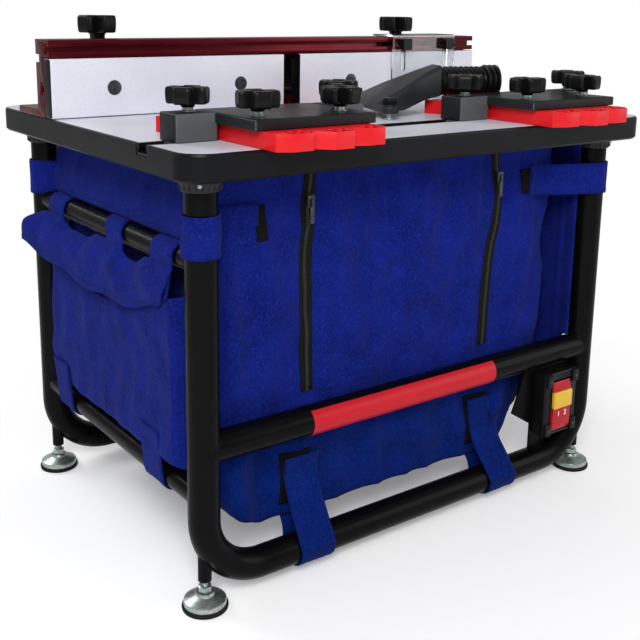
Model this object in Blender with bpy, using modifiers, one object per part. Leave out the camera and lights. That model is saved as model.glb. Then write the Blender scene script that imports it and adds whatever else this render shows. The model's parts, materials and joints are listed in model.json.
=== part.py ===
"""Router table: laminated top on a bent-tube stand, with fence, two featherboards, bit guard, switch and fabric bag.

The long front edge runs along X, the front faces -Y, and the origin is on the floor under the middle of the object.
Every piece hangs under one empty that carries the table's own centre, so that the overhanging combs are counted.
"""

import math

import bmesh
import bpy
from mathutils import Matrix, Vector

for leftover in list(bpy.data.objects):
    bpy.data.objects.remove(leftover, do_unlink=True)

# Driving dimensions, in metres
FIT = 0.0003
TABLE_LENGTH = 0.800
TABLE_DEPTH = 0.600
TABLE_TOP = 0.590
TABLE_THICKNESS = 0.0335
CORNER_RADIUS = 0.038
CORNER_STEPS = 12
BAND_WIDTH = 0.004
BAND_ROUND = 0.003
TRACK_Y = -0.190
TRACK_WIDTH = 0.030
TRACK_DEPTH = 0.0138
INSERT_Y = 0.075
INSERT_LENGTH = 0.306
INSERT_DEPTH = 0.230
INSERT_THICKNESS = 0.008
INSERT_LEDGE = 0.010
RING_RADIUS = 0.055
BIT_RADIUS = 0.026
LEG_X = 0.3516
LEG_Y = 0.2403
TUBE_RADIUS = 0.0205
SIDE_RAIL_RADIUS = 0.0155
BEND_RADIUS = 0.085
BEND_STEPS = 7
BOTTOM_RAIL_Z = 0.036
CROSS_RAIL_Z = 0.215
UPPER_SIDE_Z = 0.450
LOWER_SIDE_Z = 0.150
FLANGE_HEIGHT = 0.017
FLANGE_RADIUS = 0.0265
SLEEVE_RADIUS = 0.0088
SLEEVE_BOTTOM = 0.0385
STUD_RADIUS = 0.005
FOOT_RADIUS = 0.0298
PAD_HEIGHT = 0.006
FACE_FRONT = 0.082
FACE_THICKNESS = 0.024
FACE_HEIGHT = 0.0825
FENCE_GAP = 0.030
FENCE_TOP = 0.698
WEB_DEPTH = 0.026
FENCE_BACK = 0.207
BASE_THICKNESS = 0.010
CLAMP_X = 0.290
CLAMP_Y = 0.171
CLAMP_TOP = 0.730
PORT_RADIUS = 0.033
PORT_Z = 0.665
PORT_BACK = 0.228
GUARD_LEFT = 0.206
GUARD_RIGHT = 0.350
GUARD_SLOTS = (0.230, 0.328)
GUARD_THICKNESS = 0.003
FEATHER_X = (-0.227, 0.228)
BLOCK_HEIGHT = 0.0335
PLATE_THICKNESS = 0.0125
PLATE_HALF = 0.087
BLOCK_END = 0.139
BLOCK_HALF_DEPTH = 0.021
BLOCK_LIP = 0.0008
EDGE_BREAK = 0.0012
PLATE_FRONT = -0.110
PLATE_BACK = 0.030
BAR_HALF = 0.0094
BAR_DEPTH = 0.0063
BLOCK_KNOB_X = 0.112
PLATE_KNOB_X = 0.060
PLATE_KNOB_Y = -0.072
COMB_HALF = 0.078
COMB_FRONT = -0.155
COMB_BACK = 0.105
FINGERS = 12
COMB_TEETH = 3
TOOTH_DEPTH = 0.018
FINGER_SLANT = -0.5
KNOB_RADIUS = 0.0250
WING_ANGLE = math.radians(19)
HOLLOW = 0.50
HOOD_AT = (0.057, -0.068)
HOOD_TURN = math.radians(-22)
EAR_REACH = 0.085
EAR_BOTTOM = 0.600
SPIGOT_BORE = 0.0150
RIBS = 8
RIB_PITCH = 0.0085
RIB_RADIUS = 0.0225
END_RINGS = 3
RING_PITCH = 0.008
RING_END_RADIUS = 0.0245
SWITCH_X = 0.2815
SWITCH_WIDTH = 0.074
SWITCH_BOTTOM = 0.086
SWITCH_TOP = 0.190
SWITCH_FRONT = -0.2680
PADDLE_WIDTH = 0.041
GUARD_PAD = (0.013, 0.020, 0.005)
BAG_FRONT = -0.2165
BAG_SIDE = 0.3330
CLOTH = 0.003
ZIP_X = (-0.178, 0.168)
ZIP_Z = 0.506

TABLE_BOTTOM = TABLE_TOP - TABLE_THICKNESS
COMB_REACH = -(TRACK_Y + COMB_FRONT)
CENTRE_Y = (COMB_REACH - TABLE_DEPTH / 2) / 2
ON_TABLE = TABLE_TOP + FIT
FACE_BACK = FACE_FRONT + FACE_THICKNESS
WEB_FRONT = FACE_BACK + FIT
WEB_BACK = WEB_FRONT + WEB_DEPTH
BASE_TOP = ON_TABLE + BASE_THICKNESS
PLATE_TOP = TABLE_TOP + BLOCK_HEIGHT
PLATE_BOTTOM = PLATE_TOP - PLATE_THICKNESS

PARTS = bpy.data.collections.new("router_table")
CUTTERS = bpy.data.collections.new("cutters")
for group in (PARTS, CUTTERS):
    bpy.context.scene.collection.children.link(group)
CUTTERS.hide_render = True

CENTRE = bpy.data.objects.new("table_centre", None)
CENTRE.location = (0, CENTRE_Y, 0)
PARTS.objects.link(CENTRE)

FINISHES = {}


def finish(name, colour, roughness, metallic=0.0, alpha=1.0):
    """One Principled material, from an sRGB hex colour."""
    channels = [int(colour[i : i + 2], 16) / 255 for i in (0, 2, 4)]
    linear = [c / 12.92 if c <= 0.04045 else ((c + 0.055) / 1.055) ** 2.4 for c in channels]
    made = bpy.data.materials.new(name)
    made.use_nodes = True
    shader = made.node_tree.nodes["Principled BSDF"]
    shader.inputs["Base Color"].default_value = (*linear, 1)
    shader.inputs["Roughness"].default_value = roughness
    shader.inputs["Metallic"].default_value = metallic
    shader.inputs["Alpha"].default_value = alpha
    FINISHES[name] = made


def placed(name, mesh, finish_name, at=(0, 0, 0), turn=0.0):
    """A node: its mesh under the table's centre, with its origin where it turns or slides."""
    made = bpy.data.objects.new(name, mesh)
    made.parent = CENTRE
    made.location = at
    made.rotation_euler = (0, 0, turn)
    made.data.materials.append(FINISHES[finish_name].copy())
    PARTS.objects.link(made)
    return made


def cutter(name, mesh, at=(0, 0, 0), turn=0.0):
    made = bpy.data.objects.new(name, mesh)
    made.parent = CENTRE
    made.location = at
    made.rotation_euler = (0, 0, turn)
    made.hide_render = True
    made.display_type = "WIRE"
    CUTTERS.objects.link(made)
    return made


def boolean(target, tool, operation="DIFFERENCE"):
    step = target.modifiers.new(f"{operation.lower()}_{tool.name}", "BOOLEAN")
    step.operation = operation
    step.solver = "EXACT"
    step.object = tool


def rounded(target, width, segments=2, angle=40):
    step = target.modifiers.new("round_edges", "BEVEL")
    step.width = width
    step.segments = segments
    step.limit_method = "ANGLE"
    step.angle_limit = math.radians(angle)


def smooth(mesh, angle=35):
    mesh.shade_smooth()
    mesh.set_sharp_from_angle(angle=math.radians(angle))


def tidy(shape, name):
    """A bmesh made into a mesh with welded points and faces pointing out."""
    bmesh.ops.remove_doubles(shape, verts=shape.verts, dist=1e-6)
    bmesh.ops.recalc_face_normals(shape, faces=shape.faces)
    mesh = bpy.data.meshes.new(name)
    shape.to_mesh(mesh)
    shape.free()
    smooth(mesh)
    return mesh


def mesh_of_curve(curve, name):
    """A curve's surface as a welded mesh."""
    holder = bpy.data.objects.new(name, curve)
    bpy.context.scene.collection.objects.link(holder)
    graph = bpy.context.evaluated_depsgraph_get()
    loose = bpy.data.meshes.new_from_object(holder.evaluated_get(graph))
    bpy.data.objects.remove(holder, do_unlink=True)
    shape = bmesh.new()
    shape.from_mesh(loose)
    return tidy(shape, name)


def block(name, low, high, chamfer=0.0):
    shape = bmesh.new()
    size = Vector(high) - Vector(low)
    middle = (Vector(high) + Vector(low)) / 2
    bmesh.ops.create_cube(shape, size=1, matrix=Matrix.Translation(middle) @ Matrix.Diagonal((*size, 1)))
    if chamfer:
        bmesh.ops.bevel(shape, geom=shape.edges[:], offset=chamfer, segments=1, affect="EDGES")
    return tidy(shape, name)


def rod(name, radius, low, high, sides=20, top_radius=None):
    """An upright cylinder or cone round the local Z axis."""
    shape = bmesh.new()
    bmesh.ops.create_cone(
        shape,
        cap_ends=True,
        segments=sides,
        radius1=radius,
        radius2=radius if top_radius is None else top_radius,
        depth=high - low,
        matrix=Matrix.Translation((0, 0, (low + high) / 2)),
    )
    return tidy(shape, name)


PLANES = {
    "XY": Matrix.Identity(4),
    "YZ": Matrix(((0, 0, 1, 0), (1, 0, 0, 0), (0, 1, 0, 0), (0, 0, 0, 1))),
    "XZ": Matrix(((1, 0, 0, 0), (0, 0, -1, 0), (0, 1, 0, 0), (0, 0, 0, 1))),
}


def extruded(name, outlines, low, high, plane="XY"):
    """Flat outlines, the later ones holes in the first, made solid from low to high across their plane."""
    curve = bpy.data.curves.new(name, "CURVE")
    curve.dimensions = "2D"
    curve.fill_mode = "BOTH"
    curve.extrude = (high - low) / 2
    for outline in outlines:
        spline = curve.splines.new("POLY")
        spline.points.add(len(outline) - 1)
        for point, (a, b) in zip(spline.points, outline):
            point.co = (a, b, 0, 1)
        spline.use_cyclic_u = True
    mesh = mesh_of_curve(curve, name)
    middle = (low + high) / 2
    lift = Matrix.Translation((0, 0, -middle if plane == "XZ" else middle))
    mesh.transform(PLANES[plane] @ lift)
    return mesh


def tube(name, points, radius, resolution=6):
    """A round tube with closed ends along a line of points."""
    curve = bpy.data.curves.new(name, "CURVE")
    curve.dimensions = "3D"
    curve.bevel_depth = radius
    curve.bevel_resolution = resolution
    curve.use_fill_caps = True
    spline = curve.splines.new("POLY")
    spline.points.add(len(points) - 1)
    for place, point in zip(spline.points, points):
        place.co = (*point, 1)
    return mesh_of_curve(curve, name)


def turned(name, profile, finish_name, at, steps=24, closed=False):
    """A profile of (radius, height) that runs down its outer side, swept round the local Z axis."""
    mesh = bpy.data.meshes.new(name)
    points = [(radius, 0, height) for radius, height in profile]
    links = [(i, i + 1) for i in range(len(points) - 1)]
    if closed:
        links.append((len(points) - 1, 0))
    mesh.from_pydata(points, links, [])
    made = placed(name, mesh, finish_name, at)
    sweep = made.modifiers.new("turn", "SCREW")
    sweep.steps = steps
    sweep.render_steps = steps
    sweep.use_merge_vertices = True
    sweep.merge_threshold = 0.00001
    sweep.use_smooth_shade = True
    return made


def lofted(name, rings, looped=False):
    """Rings with the same count of points joined in order; the ends are closed, or the last ring meets the first."""
    shape = bmesh.new()
    rows = [[shape.verts.new(point) for point in ring] for ring in rings]
    pairs = list(zip(rows, rows[1:]))
    if looped:
        pairs.append((rows[-1], rows[0]))
    for near, far in pairs:
        for i in range(len(near)):
            j = (i + 1) % len(near)
            shape.faces.new((near[i], near[j], far[j], far[i]))
    if not looped:
        shape.faces.new(rows[0])
        shape.faces.new(rows[-1])
    return tidy(shape, name)


def arc(centre, radius, start, end, steps):
    """Points on a circle, with angles in degrees."""
    turns = [math.radians(start + (end - start) * i / steps) for i in range(steps + 1)]
    return [(centre[0] + radius * math.cos(t), centre[1] + radius * math.sin(t)) for t in turns]


def rounded_rectangle(width, depth, radius, centre=(0, 0), steps=5):
    a, b = width / 2 - radius, depth / 2 - radius
    points = []
    for corner, (sx, sy) in enumerate(((1, 1), (-1, 1), (-1, -1), (1, -1))):
        middle = (centre[0] + sx * a, centre[1] + sy * b)
        points += arc(middle, radius, 90 * corner, 90 * corner + 90, steps)
    return points


def slot_outline(width, length, centre):
    return rounded_rectangle(width, length, width / 2 - 1e-5, centre, 4)


finish("black_powder_coat", "0E0E10", 0.42)
finish("grey_moulding", "4E5254", 0.5)
finish("dark_moulding", "2E3032", 0.5)
finish("black_moulding", "141416", 0.45)
finish("white_laminate", "D9DAE3", 0.35)
finish("black_edging", "141518", 0.4)
finish("black_anodised", "16171A", 0.35, 0.6)
finish("milled_aluminium", "C9CBD0", 0.35, 0.9)
finish("red_moulding", "E01E26", 0.4)
finish("red_anodised", "6C0A1B", 0.3, 0.5)
finish("zinc_plate", "9AA59F", 0.3, 0.9)
finish("clear_sheet", "DDE3E6", 0.08, 0.0, 0.3)
finish("switch_red", "B8121F", 0.35)
finish("key_yellow", "E2B92E", 0.4)
finish("blue_fabric", "18237F", 0.9)


def frame_side(name, side):
    """One bent U of tube with the foot sleeves welded under its bends; side is -1 at the front."""
    y = side * LEG_Y
    inner = LEG_X - BEND_RADIUS
    middle_z = BOTTOM_RAIL_Z + BEND_RADIUS
    left = arc((-inner, middle_z), BEND_RADIUS, 180, 270, BEND_STEPS)
    right = arc((inner, middle_z), BEND_RADIUS, 270, 360, BEND_STEPS)
    path = [(-LEG_X, TABLE_BOTTOM - 2 * FIT), *left, *right, (LEG_X, TABLE_BOTTOM - 2 * FIT)]
    made = placed(name, tube(name, [(x, y, z) for x, z in path], TUBE_RADIUS), "black_powder_coat")
    for x in (-LEG_X, LEG_X):
        sleeve = rod("foot_sleeve", SLEEVE_RADIUS, SLEEVE_BOTTOM, middle_z - BEND_RADIUS / 2, 16)
        boolean(made, cutter("foot_sleeve", sleeve, (x, y, 0)), "UNION")
    for x in (-LEG_X, LEG_X):
        bore = rod("stud_bore", STUD_RADIUS + 2 * FIT, SLEEVE_BOTTOM - 0.01, 0.090, 16)
        boolean(made, cutter("stud_bore", bore, (x, y, 0)))


def straight_rail(name, start, end, radius, legs):
    """A rail whose ends are coped to the two legs that it is welded between."""
    made = placed(name, tube(name, [start, end], radius), "black_powder_coat")
    for leg in legs:
        boolean(made, leg)


def rails():
    legs = {}
    for sx in (-1, 1):
        for sy in (-1, 1):
            shape = rod("leg_cope", TUBE_RADIUS + FIT, 0.1, TABLE_BOTTOM, 36)
            legs[sx, sy] = cutter("leg_cope", shape, (sx * LEG_X, sy * LEG_Y, 0))
    for sy, word in ((-1, "front"), (1, "rear")):
        ends = [(sx * LEG_X, sy * LEG_Y, CROSS_RAIL_Z) for sx in (-1, 1)]
        straight_rail(f"{word}_cross_rail", *ends, TUBE_RADIUS - 0.0005, (legs[-1, sy], legs[1, sy]))
    for sx, word in ((-1, "left"), (1, "right")):
        for z, level in ((UPPER_SIDE_Z, "upper"), (LOWER_SIDE_Z, "lower")):
            ends = [(sx * LEG_X, sy * LEG_Y, z) for sy in (-1, 1)]
            name = f"{word}_{level}_side_rail"
            straight_rail(name, *ends, SIDE_RAIL_RADIUS, (legs[sx, -1], legs[sx, 1]))


def leg_flange(name, x, y):
    """The conical collar that holds a leg against the underside of the table."""
    top = TABLE_BOTTOM - FIT
    bore = TUBE_RADIUS + FIT
    profile = [
        (bore, top),
        (FLANGE_RADIUS, top),
        (FLANGE_RADIUS, top - 0.004),
        (bore + 0.0025, top - FLANGE_HEIGHT),
        (bore, top - FLANGE_HEIGHT),
    ]
    turned(name, profile, "grey_moulding", (x, y, 0), 20, closed=True)


def levelling_foot(word, x, y):
    """A pressed disc with its locknut and stud, moulded onto a rubber pad."""
    profile = [
        (0, 0.080),
        (STUD_RADIUS, 0.079),
        (STUD_RADIUS, 0.031),
        (0.0085, 0.031),
        (0.0085, 0.023),
        (0.0115, 0.0225),
        (0.0125, 0.0185),
        (0.0255, 0.0135),
        (0.0275, 0.0115),
        (0.0275, PAD_HEIGHT),
        (FOOT_RADIUS, PAD_HEIGHT - 0.001),
        (FOOT_RADIUS, 0.0015),
        (FOOT_RADIUS - 0.0015, 0),
        (0, 0),
    ]
    turned(f"{word}_foot", profile, "zinc_plate", (x, y, 0), 20)


def frame():
    frame_side("front_frame_tube", -1)
    frame_side("rear_frame_tube", 1)
    rails()
    for sy, depth in ((-1, "front"), (1, "rear")):
        for sx, width in ((-1, "left"), (1, "right")):
            leg_flange(f"{depth}_{width}_leg_flange", sx * LEG_X, sy * LEG_Y)
            levelling_foot(f"{depth}_{width}", sx * LEG_X, sy * LEG_Y)


def switch_bracket():
    """The plate welded in the corner between cross rail, right leg and bend."""
    inner = BEND_RADIUS - TUBE_RADIUS - 2 * FIT
    middle = (LEG_X - BEND_RADIUS, BOTTOM_RAIL_Z + BEND_RADIUS)
    top = CROSS_RAIL_Z - TUBE_RADIUS - FIT
    leg = LEG_X - TUBE_RADIUS - FIT
    bend = arc(middle, inner, -90, 0, BEND_STEPS)
    outline = [(0.226, top), (0.200, 0.128), (0.243, 0.101), (0.243, bend[0][1]), *bend, (leg, top)]
    plate = extruded("switch_bracket", [outline], -LEG_Y - 0.0012, -LEG_Y + 0.0018, "XZ")
    placed("switch_bracket", plate, "black_powder_coat")


def table():
    inside = 2 * (BAND_WIDTH + FIT)
    radius = CORNER_RADIUS - BAND_WIDTH - FIT
    board = rounded_rectangle(TABLE_LENGTH - inside, TABLE_DEPTH - inside, radius, steps=CORNER_STEPS)
    opening = rounded_rectangle(
        INSERT_LENGTH - 2 * INSERT_LEDGE, INSERT_DEPTH - 2 * INSERT_LEDGE, 0.010, (0, INSERT_Y)
    )
    mesh = extruded("table_top", [board, opening], TABLE_BOTTOM, TABLE_TOP)
    top = placed("table_top", mesh, "white_laminate")

    recess = rounded_rectangle(INSERT_LENGTH + 2 * FIT, INSERT_DEPTH + 2 * FIT, 0.0153, (0, INSERT_Y))
    floor = TABLE_TOP - INSERT_THICKNESS - FIT
    boolean(top, cutter("insert_recess", extruded("insert_recess", [recess], floor, TABLE_TOP + 0.01)))

    half = TRACK_WIDTH / 2 + FIT
    low = TABLE_TOP - TRACK_DEPTH - 2 * FIT
    groove = cutter(
        "track_groove", block("track_groove", (-0.5, TRACK_Y - half, low), (0.5, TRACK_Y + half, 0.62))
    )
    boolean(top, groove)

    profile = [(BAND_WIDTH, TABLE_BOTTOM), (BAND_ROUND, TABLE_BOTTOM), (0, TABLE_BOTTOM + BAND_ROUND)]
    profile += [(0, TABLE_TOP - BAND_ROUND), (BAND_ROUND * 0.3, TABLE_TOP - BAND_ROUND * 0.3)]
    profile += [(BAND_ROUND, TABLE_TOP), (BAND_WIDTH, TABLE_TOP)]
    rings = []
    for inset, z in profile:
        flat = rounded_rectangle(
            TABLE_LENGTH - 2 * inset, TABLE_DEPTH - 2 * inset, CORNER_RADIUS - inset, steps=CORNER_STEPS
        )
        rings.append([(x, y, z) for x, y in flat])
    band = placed("edge_band", lofted("edge_band", rings, looped=True), "black_edging")
    boolean(band, groove)


def mitre_track():
    """An aluminium channel with an undercut for the heads of bolts."""
    half, mouth, under = TRACK_WIDTH / 2, 0.0098, 0.0120
    lip, floor = -0.0068, -0.0106
    right = [(half, 0), (mouth, 0), (mouth, lip), (under, lip), (under, floor)]
    left = [(-y, z) for y, z in reversed(right)]
    outline = [(-half, -TRACK_DEPTH), (half, -TRACK_DEPTH), *right, *left]
    section = [(TRACK_Y + y, TABLE_TOP + z) for y, z in outline]
    end = TABLE_LENGTH / 2 - 0.0008
    placed("mitre_track", extruded("mitre_track", [section], -end, end, "YZ"), "black_anodised")


def insert():
    plate = rounded_rectangle(INSERT_LENGTH, INSERT_DEPTH, 0.015, (0, INSERT_Y))
    hole = arc((0, INSERT_Y), RING_RADIUS - 0.004, 0, 351, 39)
    mesh = extruded("insert_plate", [plate, hole], TABLE_TOP - INSERT_THICKNESS, TABLE_TOP)
    made = placed("insert_plate", mesh, "milled_aluminium")
    seat = rod("ring_seat", RING_RADIUS + FIT, TABLE_TOP - 0.004 - FIT, TABLE_TOP + 0.01, 40)
    boolean(made, cutter("ring_seat", seat, (0, INSERT_Y, 0)))
    low, top = TABLE_TOP - 0.004, TABLE_TOP
    profile = [
        (BIT_RADIUS, top),
        (RING_RADIUS - 0.001, top),
        (RING_RADIUS, top - 0.001),
        (RING_RADIUS, low),
        (BIT_RADIUS, low),
    ]
    turned("reducer_ring", profile, "red_moulding", (0, INSERT_Y, 0), 40, closed=True)


def fence_extrusion():
    """Web with a bolt slot, a slotted head over the face boards, a rear slot and a foot flange."""
    slot_z = TABLE_TOP + 0.040
    head = TABLE_TOP + FACE_HEIGHT + 0.0018
    lip = FACE_FRONT + 0.0025
    outline = [
        (WEB_FRONT, ON_TABLE),
        (FENCE_BACK, ON_TABLE),
        (FENCE_BACK, BASE_TOP - 0.002),
        (FENCE_BACK - 0.002, BASE_TOP),
        (WEB_BACK, BASE_TOP),
        (WEB_BACK, head - 0.008),
        (WEB_BACK - 0.012, head - 0.008),
        (WEB_BACK - 0.012, head + 0.003),
        (WEB_BACK, head + 0.003),
        (WEB_BACK, FENCE_TOP),
        (lip, FENCE_TOP),
        (lip, head + 0.0155),
        (lip + 0.004, head + 0.0155),
        (lip + 0.004, head + 0.0195),
        (lip + 0.013, head + 0.0195),
        (lip + 0.013, head + 0.0035),
        (lip + 0.004, head + 0.0035),
        (lip + 0.004, head + 0.0075),
        (lip, head + 0.0075),
        (lip, head),
        (WEB_FRONT, head),
        (WEB_FRONT, slot_z + 0.004),
        (WEB_FRONT + 0.004, slot_z + 0.004),
        (WEB_FRONT + 0.004, slot_z + 0.009),
        (WEB_FRONT + 0.011, slot_z + 0.009),
        (WEB_FRONT + 0.011, slot_z - 0.009),
        (WEB_FRONT + 0.004, slot_z - 0.009),
        (WEB_FRONT + 0.004, slot_z - 0.004),
        (WEB_FRONT, slot_z - 0.004),
    ]
    half = TABLE_LENGTH / 2
    made = placed("fence_extrusion", extruded("fence_extrusion", [outline], -half, half, "YZ"), "red_anodised")
    window = block("dust_window", (-0.034, 0.09, BASE_TOP + 0.003), (0.034, 0.15, head - 0.010))
    boolean(made, cutter("dust_window", window))
    for x in (-CLAMP_X, CLAMP_X):
        bore = rod("clamp_bore", 0.0050, 0.55, 0.62, 16)
        boolean(made, cutter("clamp_bore", bore, (x, CLAMP_Y, 0)))
    return head


def face_boards():
    low = TABLE_TOP + 0.0012
    for side, word in ((-1, "left"), (1, "right")):
        ends = sorted((side * FENCE_GAP / 2, side * TABLE_LENGTH / 2))
        mesh = block(
            f"fence_face_{word}", (ends[0], FACE_FRONT, low), (ends[1], FACE_BACK, TABLE_TOP + FACE_HEIGHT)
        )
        made = placed(f"fence_face_{word}", mesh, "white_laminate")
        rounded(made, 0.0012, 1)


def star_outline(radius, lobes=4, points=32):
    """The rim of a winged knob: broad wings with flat ends, and hollows between them."""
    rim = []
    half = math.pi / lobes
    for i in range(points):
        turn = 2 * math.pi * i / points
        off = abs((turn + half) % (2 * half) - half)
        share = max(0.0, (off - WING_ANGLE) / (half - WING_ANGLE))
        ease = (1 - math.cos(math.pi * share)) / 2
        wing = radius / math.cos(min(off, WING_ANGLE))
        reach = wing + (HOLLOW * radius - wing) * ease
        rim.append((reach * math.cos(turn), reach * math.sin(turn)))
    return rim


def star_knob(name, at, seat, turn, radius=KNOB_RADIUS, grip=0.020, neck=0.008, stud=0.030, girth=0.0075):
    """A lobed knob over a washer, with its neck and stud along the axis; seat is the height of the washer's foot."""
    bottom = seat + FIT
    low = bottom + 0.0015 + neck
    rim = star_outline(radius)
    mesh = lofted(
        name,
        [
            [(x * 0.92, y * 0.92, low) for x, y in rim],
            [(x, y, low + grip - 0.003) for x, y in rim],
            [(x * 0.93, y * 0.93, low + grip) for x, y in rim],
        ],
    )
    made = placed(name, mesh, "black_moulding", (*at, 0), turn)
    profile = (
        ("knob_stud", 0.0032, seat - stud, low + 0.004, 0.0032),
        ("knob_washer", 0.0088, bottom, bottom + 0.002, 0.0088),
        ("knob_neck", girth, bottom + 0.0012, low + 0.004, girth + 0.0030),
    )
    for word, foot, start, end, head in profile:
        shape = rod(word, foot, start, end, 10, head)
        boolean(made, cutter(word, shape, (*at, 0), turn), "UNION")


def fence_clamps():
    for x, word in ((-CLAMP_X, "left"), (CLAMP_X, "right")):
        neck = CLAMP_TOP - 0.025 - BASE_TOP - 0.0018
        turn = math.radians(20)
        star_knob(f"fence_knob_{word}", (x, CLAMP_Y), BASE_TOP, turn, 0.029, 0.025, neck, 0.008, 0.0110)


def dust_port():
    """A moulded hood over the window in the fence, with a round spigot for a hose."""
    front = WEB_BACK + FIT
    low = BASE_TOP + FIT
    high = FENCE_TOP - 0.014
    back = FENCE_BACK - 0.020
    sections = ((front, 0.074, low, high), (front + 0.030, 0.074, low, high), (back, 0.044, low, high))

    def rings(shrink, reach):
        made = []
        for y, half, bottom, top in sections:
            width, height = 2 * (half - shrink), top - bottom - 2 * shrink
            flat = rounded_rectangle(width, height, 0.010, (0, (bottom + top) / 2), 3)
            made.append([(x, y + (reach if y == front else -shrink), z) for x, z in flat])
        return made

    hood = placed("dust_port", lofted("dust_port", rings(0, 0)), "black_moulding")
    away = Matrix.Translation((0, 0, PORT_Z - 0.014)) @ Matrix.Rotation(math.radians(-90), 4, "X")
    spigot = rod("port_spigot", PORT_RADIUS, back - 0.012, PORT_BACK, 32)
    spigot.transform(away)
    boolean(hood, cutter("port_spigot", spigot), "UNION")
    boolean(hood, cutter("port_hollow", lofted("port_hollow", rings(0.003, -0.01))))
    bore = rod("port_bore", PORT_RADIUS - 0.003, back - 0.030, PORT_BACK + 0.01, 32)
    bore.transform(away)
    boolean(hood, cutter("port_bore", bore))


def clear_guard(head):
    """A clear sheet bent over the fence head, slotted for two clamp knobs."""
    front = FACE_FRONT - 0.0005 - GUARD_THICKNESS
    top = FENCE_TOP + 0.0005 + GUARD_THICKNESS
    bend = 0.006
    outside = arc((front + bend, top - bend), bend, 180, 90, 5)
    inside = arc((front + bend, top - bend), bend - GUARD_THICKNESS, 90, 180, 5)
    back = WEB_BACK
    low = TABLE_TOP + 0.030
    outline = [(front, low), *outside, (back, top), (back, top - GUARD_THICKNESS), *inside]
    outline.append((front + GUARD_THICKNESS, low))
    mesh = extruded("clear_guard", [outline], GUARD_LEFT, GUARD_RIGHT, "YZ")
    made = placed("clear_guard", mesh, "clear_sheet")
    clamp_z = head + 0.0115
    for x in GUARD_SLOTS:
        shape = slot_outline(0.010, clamp_z + 0.006 - TABLE_TOP - 0.050, (x, (clamp_z + TABLE_TOP + 0.056) / 2))
        boolean(made, cutter("guard_slot", extruded("guard_slot", [shape], 0.06, 0.0835, "XZ")))
    for x, word in zip(GUARD_SLOTS, ("left", "right")):
        face = front - FIT
        grip = rounded_rectangle(0.019, 0.019, 0.003, (x, clamp_z), 3)
        mesh = extruded(f"guard_knob_{word}", [grip], face - 0.012, face, "XZ")
        knob = placed(f"guard_knob_{word}", mesh, "black_moulding")
        rounded(knob, 0.0015, 1)
        stud = rod("guard_stud", 0.0028, face - 0.004, FACE_FRONT + 0.0115, 12)
        stud.transform(Matrix.Translation((x, 0, clamp_z)) @ Matrix.Rotation(math.radians(-90), 4, "X"))
        boolean(knob, cutter("guard_stud", stud), "UNION")


def comb_outline():
    """The comb seen from above: slanted spring fingers at the back, stepped teeth at the front."""
    root, slit = 0.038, 0.0022
    pitch = 2 * COMB_HALF / FINGERS
    back = []
    for i in range(FINGERS):
        right = COMB_HALF - i * pitch
        left = right - pitch + slit
        tip = FINGER_SLANT * (COMB_BACK - root)
        fall = 0.0012 * i
        back += [(right, root), (right + tip, COMB_BACK - fall), (left + tip, COMB_BACK - fall - 0.004)]
        back.append((left, root))
    front = []
    step = 2 * COMB_HALF / COMB_TEETH
    for i in range(COMB_TEETH):
        start = -COMB_HALF + i * step
        reach = COMB_FRONT if i == 1 else COMB_FRONT + 0.008
        notch = COMB_FRONT + TOOTH_DEPTH
        front += [(start, notch), (start + 0.34 * step, reach), (start + 0.86 * step, reach)]
    return [*back, (-COMB_HALF, root), *front, (COMB_HALF, COMB_FRONT + TOOTH_DEPTH)]


def featherboard(word, x):
    y = TRACK_Y
    low, high = (-PLATE_HALF, PLATE_FRONT, PLATE_BOTTOM), (PLATE_HALF, PLATE_BACK, PLATE_TOP)
    body = block(f"{word}_featherboard", low, high, EDGE_BREAK)
    made = placed(f"{word}_featherboard", body, "dark_moulding", (x, y, 0))
    for side in (-1, 1):
        near, far = sorted((side * (PLATE_HALF - 0.0040), side * BLOCK_END))
        low = (near, -BLOCK_HALF_DEPTH, ON_TABLE)
        high = (far, BLOCK_HALF_DEPTH, PLATE_TOP + BLOCK_LIP)
        shape = block("end_block", low, high, EDGE_BREAK)
        boolean(made, cutter("end_block", shape, (x, y, 0)), "UNION")
    spots = [(-BLOCK_KNOB_X, 0), (-PLATE_KNOB_X, PLATE_KNOB_Y), (PLATE_KNOB_X, PLATE_KNOB_Y), (BLOCK_KNOB_X, 0)]
    for spot_x, spot_y in spots:
        hole = rod("stud_hole", 0.0040, 0.55, 0.68, 10)
        boolean(made, cutter("stud_hole", hole, (x + spot_x, y + spot_y, 0)))

    comb_holes = [slot_outline(0.0086, 0.040, (side * PLATE_KNOB_X, PLATE_KNOB_Y + 0.004)) for side in (-1, 1)]
    comb = extruded(f"{word}_comb", [comb_outline(), *comb_holes], ON_TABLE + 0.0002, PLATE_BOTTOM - FIT)
    placed(f"{word}_comb", comb, "red_moulding", (x, y, 0))

    low, high = (-BLOCK_END, -BAR_HALF, TABLE_TOP - BAR_DEPTH), (BLOCK_END, BAR_HALF, TABLE_TOP - FIT)
    bar = block(f"{word}_mitre_bar", low, high)
    placed(f"{word}_mitre_bar", bar, "milled_aluminium", (x, y, 0))

    for number, (spot_x, spot_y) in enumerate(spots, 1):
        seat = PLATE_TOP + (BLOCK_LIP if spot_y == 0 else 0)
        turn = math.radians(12 + 31 * number)
        star_knob(f"{word}_knob_{number}", (x + spot_x, y + spot_y), seat, turn)


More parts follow.
